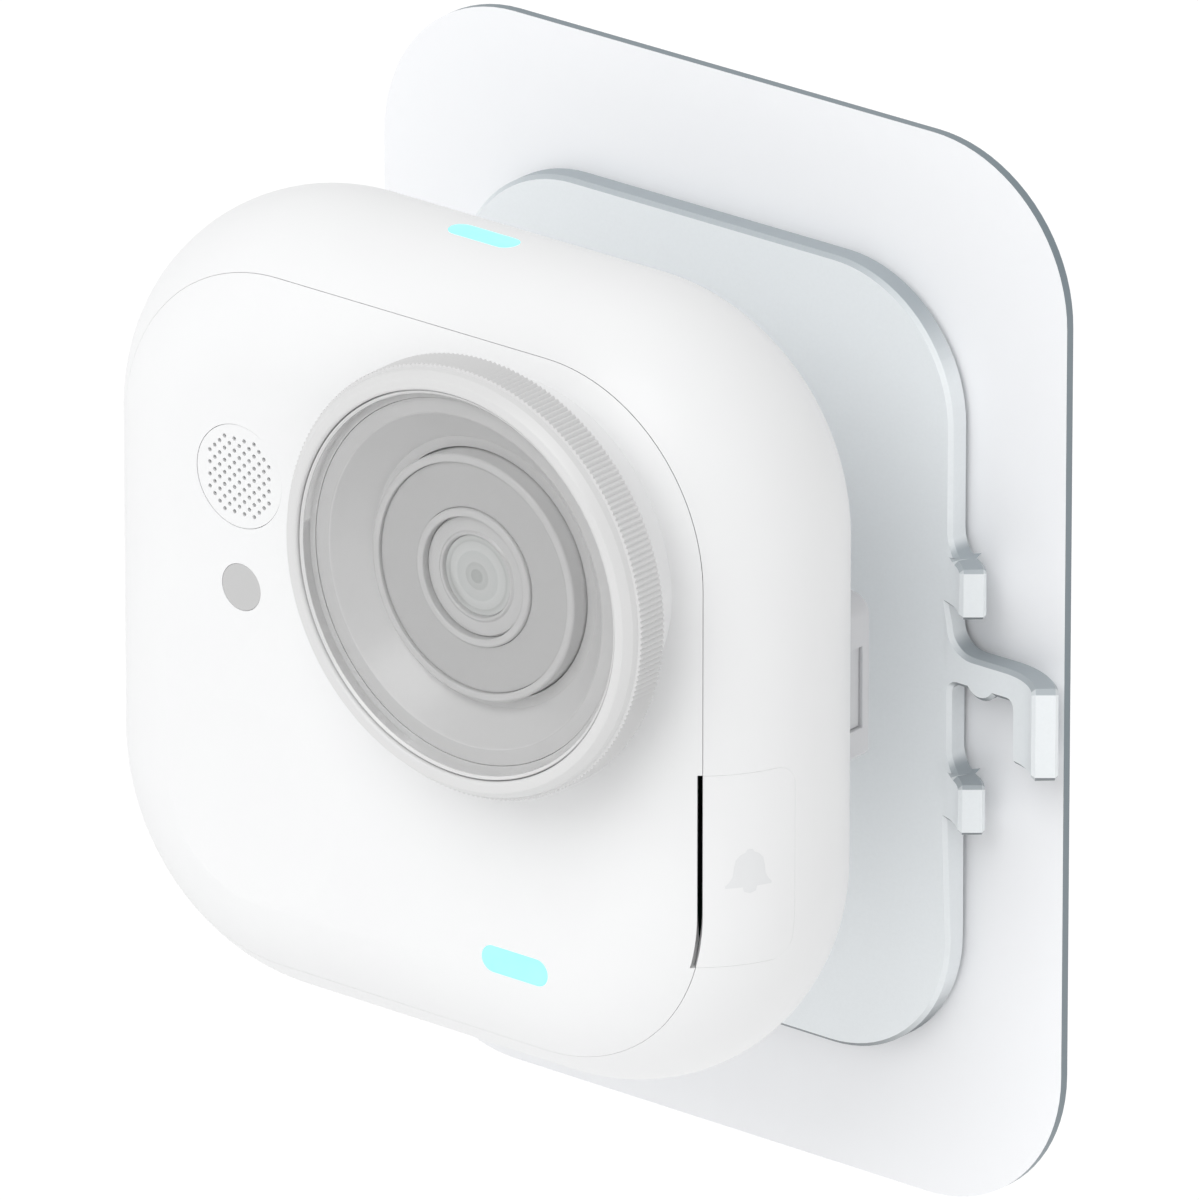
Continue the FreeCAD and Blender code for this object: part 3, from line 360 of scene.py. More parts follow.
def sheet_polycarbonate():
    # A clear-edged polycarbonate sheet with a white face: its sawn rim is painted an opaque dark blue-grey,
    # painted shade for the dark look a clear edge takes in light.
    material, tree, surface, place, where = new_material("white_faced_polycarbonate", Roughness=0.4, IOR=1.58)
    # Painted shade: faces turned sideways take the dark blue-grey; the front and back faces stay white.
    split = add(tree, "ShaderNodeSeparateXYZ", {"Vector": where.outputs["Normal"]})
    facing = add(tree, "ShaderNodeMath", {0: split.outputs["Y"]}, operation="ABSOLUTE")
    is_face = add(tree, "ShaderNodeMath", {0: facing.outputs[0], 1: 0.7}, operation="GREATER_THAN")
    shade = blend_colours(tree, is_face.outputs[0], "#77838A", "#F2F3F5")
    tree.links.new(shade, surface.inputs["Base Color"])
    grain_bump(tree, surface, place, 0.5, 0.006, 0.15)
    return material


def lit_acrylic():
    # A frosted acrylic diffuser lit cyan from behind.
    material, tree, surface, place, _ = new_material("lit_frosted_acrylic", Roughness=0.35, IOR=1.49)
    colour = mottle(tree, surface, place, "#82FAFF", "#92FDFF", 3.0)
    tree.links.new(colour, surface.inputs["Emission Color"])
    surface.inputs["Emission Strength"].default_value = 0.55
    return material


def grey_nylon():
    # Glass-filled nylon: light grey and matt, as a load-bearing moulding is.
    material, tree, surface, place, _ = new_material("grey_glass_filled_nylon", Roughness=0.5, IOR=1.53)
    mottle(tree, surface, place, "#CDCED0", "#C8C9CC", 4.0)
    grain_bump(tree, surface, place, 0.3, 0.015, 0.3)
    return material


def plain(name, colour, other, grain, height=0.01, **shader):
    """A hidden part's finish: two near shades and a fine grain."""
    material, tree, surface, place, _ = new_material(name, **shader)
    mottle(tree, surface, place, colour, other, grain * 8)
    grain_bump(tree, surface, place, grain, height)
    return material


FINISH = {
    "white_shell": moulded_abs(),
    "grey_trim": satin_grey_abs(),
    "lens_grey": polished_grey_pc(),
    "bright_trim": pale_trim(),
    "clear_glass": cover_glass_coated(),
    "plate_metal": blasted_aluminium(),
    "sheet_plastic": sheet_polycarbonate(),
    "light_guide": lit_acrylic(),
    "grey_bar": grey_nylon(),
    "sensor_grey": infrared_acrylic(),
    # Foam tape: pale and dull.
    "adhesive": plain("acrylic_foam_tape", "#DADCDE", "#D2D5D8", 0.5, Roughness=0.8),
    # Moulded silicone: mid grey and matt.
    "seal_rubber": plain("moulded_silicone", "#8A8D8D", "#838686", 0.4, Roughness=0.7),
    # Zinc-plated steel: bright, with a faint blue cast.
    "screw_steel": plain("zinc_plated_steel", "#C6CACF", "#B7BCC2", 0.25, 0.004, Roughness=0.3, Metallic=1.0),
    # Solder mask over glass fibre: deep green with the weave's faint grain.
    "circuit_board": plain("solder_mask", "#12402C", "#0E3525", 0.5, Roughness=0.35),
    # Epoxy LED package: milky.
    "led_body": plain("epoxy_package", "#F0F2E2", "#E6E9D6", 0.3, Roughness=0.25),
    # Silicon under its window: blue-black.
    "chip_glass": plain("sensor_silicon", "#1D2536", "#252E44", 0.2, 0.002, Roughness=0.1),
    # Black ABS from an eroded mould.
    "black_plastic": plain("black_abs", "#1B1B1D", "#161618", 0.3, Roughness=0.45),
    # Rolled copper on polyimide film.
    "copper_film": plain("rolled_copper", "#C98A5E", "#BC7C50", 0.4, 0.003, Roughness=0.3, Metallic=1.0),
    # Heat-shrunk film over the cells.
    "battery_wrap": plain("shrink_film", "#3B4A63", "#34425A", 1.2, 0.02, Roughness=0.3),
    # Open-cell foam.
    "foam": plain("open_cell_foam", "#2E2F31", "#252628", 0.6, 0.08, Roughness=0.95),
}
LENS_GLASS = lens_glass()
WELL = well_plastic()
INFRARED = infrared_acrylic()
# Pad-printed ink: a grey barely darker than the shell, slightly matt.
INK = plain("pad_printed_ink", "#E2E3E4", "#DFE0E1", 0.3, 0.002, Roughness=0.55)


# ---------------------------------------------------------------- the case

def pillow(inset=0.0):
    """The case's form: a rounded square with full-round rims, drawn in by an inset all round."""
    reach = Vector((CASE_HALF - inset, CASE_THICK / 2 - inset, CASE_HALF - inset))
    piece = rounded_block(CASE_MIDDLE - reach, CASE_MIDDLE + reach, 1, CASE_CORNER - inset, 32)
    pick(piece, "edges", lambda a, b: abs(a.y - b.y) < 1e-6)
    bpy.ops.mesh.bevel(offset=reach.y - 0.05 * MM, segments=32)
    leave()
    return piece


def keep_between(piece, low_y=None, high_y=None):
    """Trim a form to the depths between two planes, leaving it open there."""
    for level, outwards in ((low_y, -1), (high_y, 1)):
        if level is None:
            continue
        pick(piece, "faces", lambda face: True)
        bpy.ops.mesh.bisect(plane_co=(0, level, 0), plane_no=(0, outwards, 0), clear_outer=True)
        leave()
    return piece


def shell_between(low_y=None, high_y=None):
    """A slice of the case's form, given its wall inwards."""
    piece = keep_between(pillow(), low_y, high_y)
    apply(piece, "SOLIDIFY", thickness=CASE_WALL, offset=-1, use_even_offset=True, use_quality_normals=True)
    return piece


def pill_tool(low, high, axis, clearance=0.05 * MM):
    """A cutter for a light guide's slot."""
    grow = Vector((clearance, clearance, clearance))
    thin = min((high - low)[other] for other in range(3) if other != axis)
    return rounded_block(low - grow, high + grow, axis, thin / 2 + clearance * 0.9, 16)


def make_front_cover():
    cover = shell_between(high_y=FRONT_SEAM - HALF_GAP)
    collar = cylinder(COLLAR_RADIUS, COLLAR_FRONT, FRONT_SEAM - 1 * MM, LENS.x, LENS.z, 160)
    carve(cover, collar, how="UNION")
    grille_x = (GRILLE_LOW.x + GRILLE_HIGH.x) / 2
    grille_z = (GRILLE_LOW.z + GRILLE_HIGH.z) / 2
    window_x = (WINDOW_LOW.x + WINDOW_HIGH.x) / 2
    window_z = (WINDOW_LOW.z + WINDOW_HIGH.z) / 2
    dish_x = (DISH_LOW.x + DISH_HIGH.x) / 2
    dish_z = (DISH_LOW.z + DISH_HIGH.z) / 2
    ball = (DISH_RADIUS ** 2 + DISH_DEPTH ** 2) / (2 * DISH_DEPTH)
    rim = [(DISH_RADIUS + 0.4 * MM, FACE_Y - 2 * MM), (DISH_RADIUS + 0.4 * MM, FACE_Y - 0.01 * MM)]
    curve = []
    for step in range(13):
        radius = DISH_RADIUS * (1 - step / 12)
        curve.append((radius, FACE_Y + DISH_DEPTH - ball + math.sqrt(ball ** 2 - radius ** 2)))
    dish = spin_ring("dish", [(0, FACE_Y - 2 * MM)] + rim + curve, 128, dish_x, dish_z)
    slot_low, slot_high = KEY_LOW.z - 0.07 * MM, KEY_HIGH.z + 0.07 * MM
    key_slot = block((KEY_INNER_X, FRONT_SEAM - KEY_SLOT, slot_low),
                     (BEYOND_X, FRONT_SEAM + 1 * MM, slot_high))
    key_room = block((KEY_INNER_X, FRONT_SEAM - HALF_GAP, slot_low),
                     (BEYOND_X, FRONT_SEAM + 1.5 * MM, slot_high))
    carve(cover,
          cylinder((GRILLE_HIGH.x - GRILLE_LOW.x) / 2 + 0.05 * MM, FACE_Y - 5 * MM, FACE_Y + 5 * MM,
                   grille_x, grille_z, 128),
          cylinder((WINDOW_HIGH.x - WINDOW_LOW.x) / 2 + 0.04 * MM, FACE_Y - 5 * MM, FACE_Y + 5 * MM,
                   window_x, window_z),
          pill_tool(PILL_LOW - Vector((0, 1 * MM, 0)), PILL_HIGH, 1),
          cylinder(SPIGOT_BORE, FACE_Y - 9 * MM, FACE_Y + 9 * MM, LENS.x, LENS.z, 128),
          dish,
          carve(key_slot, pillow(KEY_SLOT_DEPTH)),
          key_room)
    finished(smooth(cover), "front_cover_shell", "doorbell", FINISH["white_shell"], "front_cover")


def make_main_housing():
    housing = shell_between(FRONT_SEAM + HALF_GAP, REAR_SEAM - HALF_GAP)
    clearance = 0.02 * MM
    opening = rounded_block((34 * MM, FRONT_SEAM - 8.6 * MM, KEY_LOW.z - clearance),
                            (50 * MM, KEY_HIGH.y + clearance, KEY_HIGH.z + clearance), 0, 2.2 * MM)
    carve(housing, opening,
          pill_tool(TOP_PILL_LOW, TOP_PILL_HIGH + Vector((0, 0, 1 * MM)), 2),
          thumb_scoop())
    finished(smooth(housing), "main_housing_shell", "doorbell", FINISH["white_shell"], "main_housing")


def thumb_scoop():
    """A ball that hollows the lower right of the back, where a thumb lifts the case."""
    clear_selection()
    bpy.ops.mesh.primitive_uv_sphere_add(segments=96, ring_count=48,
                                         radius=SCOOP_RADIUS, location=SCOOP_PLACE)
    return settle(bpy.context.object)


def make_rear_cover():
    cover = shell_between(low_y=REAR_SEAM + HALF_GAP)
    wells = []
    for x in (-SCREW_PLACE, SCREW_PLACE):
        for z in (-SCREW_PLACE, SCREW_PLACE):
            wells.append(cylinder(SCREW_WELL, -27 * MM, -15 * MM, x, CASE_MIDDLE.z + z, 48))
    slot = pill_tool(SOCKET_LOW - Vector((0, 1 * MM, 0)), SOCKET_HIGH + Vector((0, 3 * MM, 0)), 1)
    carve(cover, slot, thumb_scoop(), *wells)
    finished(smooth(cover), "rear_cover_shell", "doorbell", FINISH["white_shell"], "rear_cover")


def make_side_key():
    key = shell_between(FRONT_SEAM + HALF_GAP, KEY_HIGH.y + 2 * MM)
    blank = rounded_block((35 * MM, FRONT_SEAM - 8.5 * MM, KEY_LOW.z), (BEYOND_X, KEY_HIGH.y, KEY_HIGH.z),
                          0, 2.15 * MM)
    carve(key, blank, how="INTERSECT")
    finished(smooth(key), "side_key_cap", "side_key", FINISH["white_shell"], "side_button")


# ---------------------------------------------------------------- the lens

def spin_ring(name, profile, steps=240, x=None, z=None):
    """A turned piece: a line of (radius, y) points, drawn vertex by vertex and spun about its axis."""
    x = LENS.x if x is None else x
    z = LENS.z if z is None else z
    start = Vector((x + profile[0][0], profile[0][1], z))
    clear_selection()
    bpy.ops.mesh.primitive_plane_add(size=1 * MM, location=start)
    piece = settle(bpy.context.object)
    bpy.ops.object.mode_set(mode="EDIT")
    bpy.ops.mesh.select_mode(type="VERT")
    bpy.ops.mesh.select_all(action="SELECT")
    bpy.ops.mesh.merge(type="CENTER")
    here = profile[0]
    for there in profile[1:]:
        step = (there[0] - here[0], there[1] - here[1], 0)
        bpy.ops.mesh.extrude_vertices_move(TRANSFORM_OT_translate={"value": step})
        here = there
    bpy.ops.mesh.select_all(action="SELECT")
    bpy.ops.mesh.spin(steps=steps, angle=2 * math.pi, center=(x, 0, z), axis=(0, 1, 0))
    bpy.ops.mesh.select_all(action="SELECT")
    bpy.ops.mesh.remove_doubles(threshold=1e-6)
    bpy.ops.mesh.normals_make_consistent(inside=False)
    leave()
    piece.name = name
    return piece


def arc(centre, radius, start, end, steps):
    """Points along an arc in (radius, y), its angles in degrees."""
    points = []
    for step in range(steps + 1):
        turn = math.radians(start + (end - start) * step / steps)
        points.append((centre[0] + radius * math.cos(turn), centre[1] + radius * math.sin(turn)))
    return points


def make_knurled_ring():
    """The turning ring: a bevelled nose, a band of fine ribs and a drawn-in tail."""
    front, back = RING_LOW.y, RING_HIGH.y
    inner = 20.12 * MM
    nose = [(inner, front + 0.7 * MM)]
    nose += arc((inner + 0.35 * MM, front + 0.35 * MM), 0.35 * MM, 180, 270, 6)
    nose += arc((21.15 * MM, front + 0.3 * MM), 0.3 * MM, 270, 310, 4)
    outer = [(21.75 * MM, front + 0.62 * MM), (21.95 * MM, front + 0.85 * MM),
             (22.05 * MM, front + 1.25 * MM)]
    band = [(22.12 * MM, front + 1.45 * MM), (RING_RADIUS, front + 1.55 * MM),
            (RING_RADIUS, back - 0.85 * MM), (22.1 * MM, back - 0.7 * MM)]
    tail = [(21.9 * MM, back - 0.55 * MM), (21.2 * MM, back), (inner, back)]
    ring = spin_ring("knurled_ring", nose + outer + band + tail, 480)
    width = 2 * math.pi / 480

    def in_groove(vertex):
        across = vertex.co.x - LENS.x
        up = vertex.co.z - LENS.z
        turn = round(math.atan2(up, across) / width)
        return math.hypot(across, up) > RING_RADIUS - 0.02 * MM and turn % 2 == 1

    pick(ring, "vertices", in_groove)
    bpy.ops.transform.resize(value=(1 - 0.22 * MM / RING_RADIUS, 1, 1 - 0.22 * MM / RING_RADIUS),
                             center_override=(LENS.x, 0, LENS.z))
    leave()
    finished(smooth(ring, 25), "knurled_lens_ring", "knurled_ring", FINISH["grey_trim"], "lens_ring")


def make_lens_well():
    """The barrel's lip, the stepped well behind the glass, its rings and the front lens."""
    glass_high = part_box("cover_glass")[1]
    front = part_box("lens_barrel")[0].y
    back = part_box("front_cover")[0].y - 0.05 * MM
    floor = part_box("lens_cone")[1].y
    lip = [(20.05 * MM, front + 0.15 * MM)]
    lip += [(19.95 * MM, front), (19.86 * MM, front), (19.66 * MM, front + 0.2 * MM)]
    lip += [(19.66 * MM, glass_high.y + 0.05 * MM), (18.95 * MM, glass_high.y + 0.05 * MM),
            (18.95 * MM, back), (20.05 * MM, back), (20.05 * MM, front + 0.15 * MM)]
    finished(smooth(spin_ring("barrel", lip)), "lens_barrel_cup", "doorbell",
             FINISH["grey_trim"], "lens_barrel")
    mouth = glass_high.y + 0.12 * MM
    cone = [(18.9 * MM, mouth), (17.45 * MM, mouth)]
    cone += arc((17.45 * MM, mouth + 0.35 * MM), 0.35 * MM, -100, -145, 4)
    cone += [(14.0 * MM, mouth + 3.15 * MM), (12.95 * MM, mouth + 3.2 * MM), (12.95 * MM, floor),
             (18.9 * MM, floor), (18.9 * MM, mouth)]
    finished(smooth(spin_ring("cone", cone), 20), "lens_well_cone", "doorbell", WELL, "lens_cone")
    for node, radius, wide in (("trim_ring", 12.35 * MM, 0.45 * MM), ("lens_retainer", 6.75 * MM, 0.45 * MM)):
        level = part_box(node)[0].y
        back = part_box(node)[1].y
        profile = [(radius + wide, back), (radius + wide, level + 0.3 * MM)]
        profile += arc((radius + wide - 0.3 * MM, level + 0.3 * MM), 0.3 * MM, 0, -90, 6)[1:]
        profile += arc((radius - wide + 0.15 * MM, level + 0.15 * MM), 0.15 * MM, -90, -180, 4)
        profile += [(radius - wide, back), (radius + wide, back)]
        finished(smooth(spin_ring(node + "_turned", profile)), node + "_turned", "doorbell",
                 FINISH["bright_trim"], node)
    cell_low, cell_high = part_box("lens_cell")
    cell_radius = (cell_high.x - cell_low.x) / 2
    cell = [(cell_radius, cell_high.y), (cell_radius, cell_low.y + 0.15 * MM),
            (cell_radius - 0.15 * MM, cell_low.y), (4.75 * MM, cell_low.y)]
    cell += arc((4.45 * MM, cell_low.y + 0.05 * MM), 0.22 * MM, -45, -180, 8)
    cell += [(4.15 * MM, cell_low.y + 0.4 * MM), (5.2 * MM, cell_low.y + 0.5 * MM), (5.2 * MM, cell_high.y),
             (cell_radius, cell_high.y)]
    finished(smooth(spin_ring("cell", cell)), "lens_cell_tube", "doorbell", FINISH["lens_grey"], "lens_cell")
    lens_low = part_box("front_lens")[0].y
    dome = []
    for step in range(13):
        radius = 4.14 * MM * step / 12
        dome.append((radius, lens_low + 30 * MM - math.sqrt((30 * MM) ** 2 - radius ** 2)))
    dome += [(4.14 * MM, lens_low + 1.7 * MM), (0, lens_low + 1.7 * MM)]
    finished(smooth(spin_ring("dome", dome, 128), 40), "front_lens_dome", "doorbell",
             LENS_GLASS, "front_lens")


# ---------------------------------------------------------------- small front fittings

def make_pills():
    for name, low, high, axis, node in (
            ("front_pill", PILL_LOW, PILL_HIGH, 1, "front_light_guide"),
            ("top_pill", TOP_PILL_LOW, TOP_PILL_HIGH, 2, "top_light_guide")):
        thin = min((high - low)[other] for other in range(3) if other != axis)
        piece = rounded_block(low - Vector((0, 0.5 * MM, 0) if axis == 1 else (0, 0, 0)),
                              high + Vector((0, 0, 0.5 * MM) if axis == 2 else (0, 0, 0)),
                              axis, thin / 2 * 0.99, 16)
        carve(piece, pillow(0.01 * MM), how="INTERSECT")
        finished(smooth(piece), name, "doorbell", FINISH["light_guide"], node)


# ---------------------------------------------------------------- mounting plate

PLATE_BACK = PLATE_HIGH.y
PLATE_FRONT = PLATE_BACK - 2.7 * MM
PLATE_EDGE = 31.8 * MM
TAB_BEND, TAB_LOW, TAB_HIGH = 29.4 * MM, 8.95 * MM, 14.3 * MM
ARM_BEND, ARM_LOW, ARM_HIGH, FINGER_LOW = 38.6 * MM, 0.4 * MM, 3.8 * MM, -6.1 * MM
BEND_INNER, BEND_ANGLE = 7.3 * MM, math.radians(51)
BEND_MIDDLE = BEND_INNER + (PLATE_BACK - PLATE_FRONT) / 2
BEND_LONG = BEND_MIDDLE * BEND_ANGLE
SLIT = 0.04 * MM
FLARE = 2.2 * MM
FLARE_REACH = 1.6 * MM


def corner(x, z, radius, start, end, steps=6):
    """Points round a corner: its arc's centre, radius and two angles in degrees."""
    points = []
    for step in range(steps + 1):
        turn = math.radians(start + (end - start) * step / steps)
        points.append((x + radius * math.cos(turn), z + radius * math.sin(turn)))
    return points


def tab_outline(high, low):
    """A tab's flat outline from its flared upper root round to its lower root."""
    end = TAB_BEND + BEND_LONG
    clip = 0.35 * MM
    points = corner(PLATE_EDGE + FLARE, high + FLARE, FLARE, 180, 270)
    points += [(end - clip, high), (end, high - clip), (end, low + clip), (end - clip, low),
               (PLATE_EDGE, low)]
    return points


def arm_outline():
    """The arm's flat outline: flared root, long finger, and a round bump under the bar."""
    end = ARM_BEND + BEND_LONG
    start = ARM_BEND + BEND_MIDDLE * math.radians(8)
    clip = 0.5 * MM
    points = corner(PLATE_EDGE + 2.8 * MM, ARM_HIGH + 2.8 * MM, 2.8 * MM, 180, 270, 8)
    points += [(end - clip, ARM_HIGH), (end, ARM_HIGH - clip),
               (end, FINGER_LOW + clip), (end - clip, FINGER_LOW),
               (start + 0.3 * MM, FINGER_LOW), (start, FINGER_LOW + 0.3 * MM)]
    points += corner(start - 0.7 * MM, ARM_LOW - 0.7 * MM, 0.7 * MM, 0, 90, 4)
    points += corner(35.6 * MM, ARM_LOW + 1.2 * MM, 2.1 * MM, -35, -145, 8)
    points += corner(PLATE_EDGE + 0.9 * MM, ARM_LOW - 0.9 * MM, 0.9 * MM, 90, 180, 4)
    return points


def half_plate(with_arm):
    """The right half of the plate, cut flat, chamfered and then bent."""
    half_tall = PLATE_HIGH.z
    points = [(0, half_tall)] + corner(PLATE_EDGE - 15 * MM, half_tall - 15 * MM, 15 * MM, 90, 0, 20)
    points += tab_outline(TAB_HIGH, TAB_LOW)
    if with_arm:
        points += arm_outline()
    points += tab_outline(-TAB_LOW, -TAB_HIGH)
    points += corner(PLATE_EDGE - 15 * MM, 15 * MM - half_tall, 15 * MM, 0, -90, 20) + [(0, -half_tall)]
    clear_selection()
    bpy.ops.mesh.primitive_plane_add(size=1 * MM, location=(points[0][0], PLATE_BACK, points[0][1]))
    plate = settle(bpy.context.object)
    bpy.ops.object.mode_set(mode="EDIT")
    bpy.ops.mesh.select_mode(type="VERT")
    bpy.ops.mesh.select_all(action="SELECT")
    bpy.ops.mesh.merge(type="CENTER")
    here = points[0]
    for there in points[1:]:
        bpy.ops.mesh.extrude_vertices_move(TRANSFORM_OT_translate={"value": (there[0] - here[0], 0,
                                                                             there[1] - here[1])})
        here = there
    bpy.ops.mesh.select_all(action="SELECT")
    bpy.ops.mesh.edge_face_add()
    bpy.ops.mesh.extrude_region_move(TRANSFORM_OT_translate={"value": (0, PLATE_FRONT - PLATE_BACK, 0)})
    bpy.ops.mesh.select_all(action="SELECT")
    bpy.ops.mesh.normals_make_consistent(inside=False)
    leave()
    for level, width in ((PLATE_FRONT, 0.42 * MM), (PLATE_BACK, 0.3 * MM)):
        pick(plate, "edges", lambda a, b: abs(a.y - level) < 1e-6 and abs(b.y - level) < 1e-6
             and max(a.x, b.x) > 1e-6)
        bpy.ops.mesh.bevel(offset=width, segments=1)
        leave()
    tab_columns = [TAB_BEND + BEND_LONG * step / 12 for step in range(13)]
    arm_columns = [ARM_BEND + BEND_LONG * step / 12 for step in range(13)]
    cuts = [((x, 0, 0), (1, 0, 0)) for x in tab_columns[:-1]]
    cuts += [((PLATE_EDGE, 0, 0), (1, 0, 0))]
    if with_arm:
        cuts += [((x, 0, 0), (1, 0, 0)) for x in arm_columns[:-1]]
    for edge in (TAB_LOW, TAB_HIGH):
        for side in (1, -1):
            cuts += [((0, 0, side * edge), (0, 0, 1))]
            out = 1 if edge == TAB_HIGH else -1
            cuts += [((0, 0, side * (edge + out * SLIT)), (0, 0, 1))]
    for root in (TAB_HIGH, -TAB_LOW):
        cuts += [((0, 0, root + FLARE * step / 4), (0, 0, 1)) for step in (1, 2, 3, 4)]
    for place, normal in cuts:
        pick(plate, "faces", lambda face: True)
        bpy.ops.mesh.bisect(plane_co=place, plane_no=normal)
        leave()
    near = 1e-7

    def in_tab(vertex):
        return TAB_LOW - near < abs(vertex.co.z) < TAB_HIGH + near

    flat = {vertex.index: vertex.co.copy() for vertex in plate.data.vertices}
    for first, inside in ((TAB_BEND, in_tab), (ARM_BEND, lambda vertex: vertex.co.z < TAB_LOW - 2 * SLIT
                                                and vertex.co.z > -TAB_LOW + 2 * SLIT)):
        if first == ARM_BEND and not with_arm:
            continue
        columns = sorted({round(place.x, 7) for place in flat.values() if place.x > first + near})
        for x in columns:
            if first == TAB_BEND and x > TAB_BEND + BEND_LONG + near:
                continue
            members = {index for index, place in flat.items() if abs(place.x - x) < 2e-7}
            pick(plate, "vertices", lambda vertex: vertex.index in members and inside(vertex))
            bpy.ops.transform.translate(value=(first - x, 0, 0))
            bpy.ops.transform.rotate(value=(x - first) / BEND_MIDDLE, orient_axis="Z",
                                     center_override=(first, PLATE_FRONT - BEND_INNER, 0))
            leave()
    for root in (TAB_HIGH, -TAB_LOW):
        for index, place in flat.items():
            rise = (place.z - root) / FLARE
            in_flare = PLATE_EDGE - FLARE_REACH < place.x < PLATE_EDGE + FLARE + near
            if not (SLIT / FLARE / 2 < rise < 0.999 and in_flare):
                continue
            share = (1 - rise) ** 2 * min(1, (place.x - PLATE_EDGE + FLARE_REACH) / FLARE_REACH)
            turn = (place.x - TAB_BEND) / BEND_MIDDLE
            forward = BEND_MIDDLE * (1 - math.cos(turn)) * share
            pick(plate, "vertices", lambda vertex: vertex.index == index)
            bpy.ops.transform.translate(value=(0, -forward, 0))
            leave()
    pick(plate, "faces", lambda face: abs(face.center.x) < 1e-7)
    bpy.ops.mesh.delete(type="FACE")
    leave()
    return plate


def make_plate():
    right = half_plate(True)
    left = half_plate(False)
    take(left)
    bpy.ops.object.mode_set(mode="EDIT")
    bpy.ops.mesh.select_all(action="SELECT")
    bpy.ops.transform.resize(value=(-1, 1, 1), center_override=(0, 0, 0))
    bpy.ops.mesh.flip_normals()
    leave()
    take(right)
    left.select_set(True)
    bpy.ops.object.join()
    pick(right, "vertices", lambda vertex: abs(vertex.co.x) < 1e-6)
    bpy.ops.mesh.remove_doubles(threshold=1e-6)
    bpy.ops.mesh.select_all(action="SELECT")
    bpy.ops.mesh.normals_make_consistent(inside=False)
    leave()
    finished(smooth(settle(right), 25), "pressed_mounting_plate", "wall_side", FINISH["plate_metal"],
             "mounting_plate")


# ---------------------------------------------------------------- bell mark

def make_bell_mark():
    """A small bell printed on the side key, wrapped to its curve."""
    middle_y, middle_z = -46.35 * MM, -3.9 * MM
    tall = 4.9 * MM
    half = [(0.0, 0.50), (0.05, 0.49), (0.08, 0.43), (0.17, 0.38), (0.25, 0.28), (0.28, 0.12), (0.30, -0.08),
            (0.36, -0.20), (0.42, -0.27), (0.42, -0.32), (0.13, -0.32), (0.11, -0.42), (0.0, -0.47)]
    outline = half + [(-across, up) for across, up in reversed(half[1:-1])]
    points = [(middle_y + across * tall, middle_z + up * tall) for across, up in outline]
    clear_selection()
    bpy.ops.mesh.primitive_plane_add(size=1 * MM, location=(44 * MM, points[0][0], points[0][1]))
    mark = settle(bpy.context.object)
    bpy.ops.object.mode_set(mode="EDIT")
    bpy.ops.mesh.select_mode(type="VERT")
    bpy.ops.mesh.select_all(action="SELECT")
    bpy.ops.mesh.merge(type="CENTER")
    here = points[0]
    for there in points[1:]:
        bpy.ops.mesh.extrude_vertices_move(TRANSFORM_OT_translate={"value": (0, there[0] - here[0],
                                                                             there[1] - here[1])})
        here = there
    bpy.ops.mesh.select_all(action="SELECT")
    bpy.ops.mesh.edge_face_add()
    leave()
    for step in range(1, 12):
        pick(mark, "faces", lambda face: True)
        bpy.ops.mesh.bisect(plane_co=(0, middle_y + (step / 12 - 0.5) * 0.84 * tall, 0), plane_no=(0, 1, 0))
        leave()
    guide = keep_between(pillow(-0.015 * MM), FRONT_SEAM - 1 * MM, KEY_HIGH.y + 1 * MM)
    take(mark)
    modifier = mark.modifiers.new("Wrap", "SHRINKWRAP")
    modifier.target = guide
    modifier.wrap_method = "PROJECT"
    modifier.use_project_x = True
    modifier.use_project_y = False
    modifier.use_project_z = False
    modifier.use_negative_direction = True
    modifier.use_positive_direction = False
    bpy.ops.object.modifier_apply(modifier=modifier.name)
    bpy.data.objects.remove(guide)
    apply(mark, "SOLIDIFY", thickness=0.01 * MM, offset=-1)
    pick(mark, "faces", lambda face: True)
    bpy.ops.mesh.normals_make_consistent(inside=False)
    leave()
    finished(smooth(mark), "bell_mark", "side_key", INK)


# ---------------------------------------------------------------- rounded copies of shaped parts

def softened(node, name, body, width, degrees=35, steps=3):
    """A copy of a shaped part with its sharp edges rounded."""
    take(frame["nodes"][node])
    piece = frame["nodes"][node].copy()
    piece.data = frame["nodes"][node].data.copy()
    bpy.context.scene.collection.objects.link(piece)
    for key in list(piece.keys()):
        del piece[key]
    piece.parent = None
    pick(piece, "vertices", lambda vertex: True)
    bpy.ops.mesh.remove_doubles(threshold=2e-6)
    bpy.ops.mesh.dissolve_limited(angle_limit=math.radians(2))
    leave()
    apply(piece, "BEVEL", width=width, segments=steps, limit_method="ANGLE",
          angle_limit=math.radians(degrees), harden_normals=False)
    return smooth(piece, 40)


def dress_nodes():
    """Give every carried-over CAD part its finish."""
    slots = {part["node"]: part["material_slot"] for part in frame["record"]["subparts"]}
    for name, node in frame["nodes"].items():
        material = FINISH[slots[name]]
        if name in ("front_lens", "middle_lens", "rear_lens"):
            material = LENS_GLASS
        if name == "infrared_window":
            material = INFRARED
        node.data.materials.clear()
        node.data.materials.append(material)


# ---------------------------------------------------------------- studio

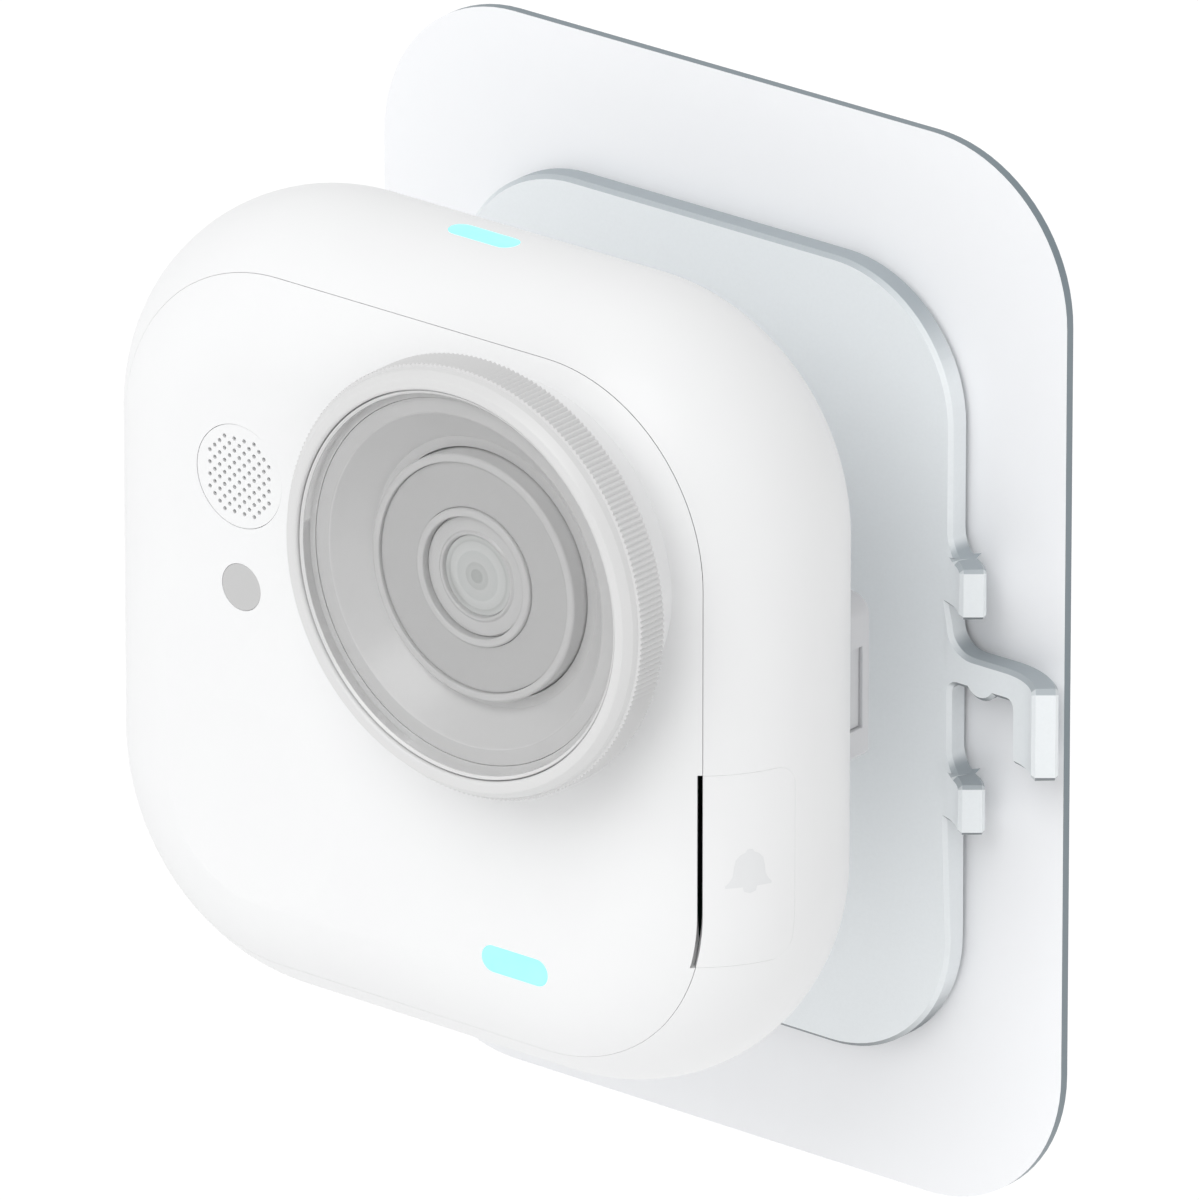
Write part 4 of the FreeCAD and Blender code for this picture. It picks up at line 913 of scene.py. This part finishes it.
def make_studio():
    clear_selection()
    bpy.ops.mesh.primitive_plane_add(size=30, location=(0, 0, -0.32))
    floor = bpy.context.object
    floor.name = "floor"
    material, tree, surface, place, _ = new_material("matt_white_floor", Roughness=1.0)
    surface.inputs["Base Color"].default_value = linear("#FFFFFF")
    surface.inputs["Specular IOR Level"].default_value = 0.0
    floor.data.materials.append(material)
    world = bpy.data.worlds.new("studio")
    world.use_nodes = True
    tree = world.node_tree
    where = add(tree, "ShaderNodeTexCoord")
    split = add(tree, "ShaderNodeSeparateXYZ", {"Vector": where.outputs["Generated"]})
    # The wall behind the object is a little dimmer than the room in front.
    behind = add(tree, "ShaderNodeMapRange",
                 {"Value": split.outputs["Y"], "From Min": 0.25, "From Max": 0.6, "To Min": 0.86, "To Max": 0.82},
                 interpolation_type="SMOOTHSTEP")
    back = tree.nodes["Background"]
    # The room is a little darker on the right, so the case's right side falls off softly.
    beside = add(tree, "ShaderNodeMapRange",
                 {"Value": split.outputs["X"], "From Min": -0.1, "From Max": 0.9, "To Min": 1.0, "To Max": 0.78},
                 interpolation_type="SMOOTHSTEP")
    strength = add(tree, "ShaderNodeMath", {0: behind.outputs["Result"], 1: beside.outputs["Result"]},
                   operation="MULTIPLY")
    tree.links.new(strength.outputs[0], back.inputs["Strength"])
    back.inputs["Color"].default_value = (1, 1, 1, 1)
    bpy.context.scene.world = world
    bpy.context.scene.view_settings.view_transform = "Standard"
    lamp = bpy.data.lights.new("softbox", "SUN")
    lamp.energy = 1.1
    lamp.angle = math.radians(40)
    holder = bpy.data.objects.new("softbox", lamp)
    holder.rotation_euler = Vector((-0.12, 0.7, -0.7)).to_track_quat("-Z", "Y").to_euler()
    bpy.context.scene.collection.objects.link(holder)


def make_camera():
    azimuth, elevation, distance = math.radians(39.0), math.radians(22.25), 2.35
    aim = Vector((0.000245, -0.020774, 0.006618))
    back = Vector((math.sin(azimuth) * math.cos(elevation), -math.cos(azimuth) * math.cos(elevation),
                   math.sin(elevation)))
    lens = bpy.data.cameras.new("camera")
    lens.sensor_width = 36
    lens.lens = 705
    lens.clip_end = 100
    camera = bpy.data.objects.new("camera", lens)
    camera.location = aim + back * distance
    camera.rotation_mode = "QUATERNION"
    camera.rotation_quaternion = (-back).to_track_quat("-Z", "Y")
    bpy.context.scene.collection.objects.link(camera)
    bpy.context.scene.camera = camera


clear_selection()
make_camera()
make_studio()
dress_nodes()
make_front_cover()
make_main_housing()
make_rear_cover()
make_side_key()
make_knurled_ring()
make_lens_well()
make_pills()
make_plate()
make_bell_mark()
finished(softened("rear_bar", "bar", "doorbell", 0.3 * MM), "rear_bar_moulding", "doorbell",
         FINISH["grey_bar"], "rear_bar")
clear_selection()
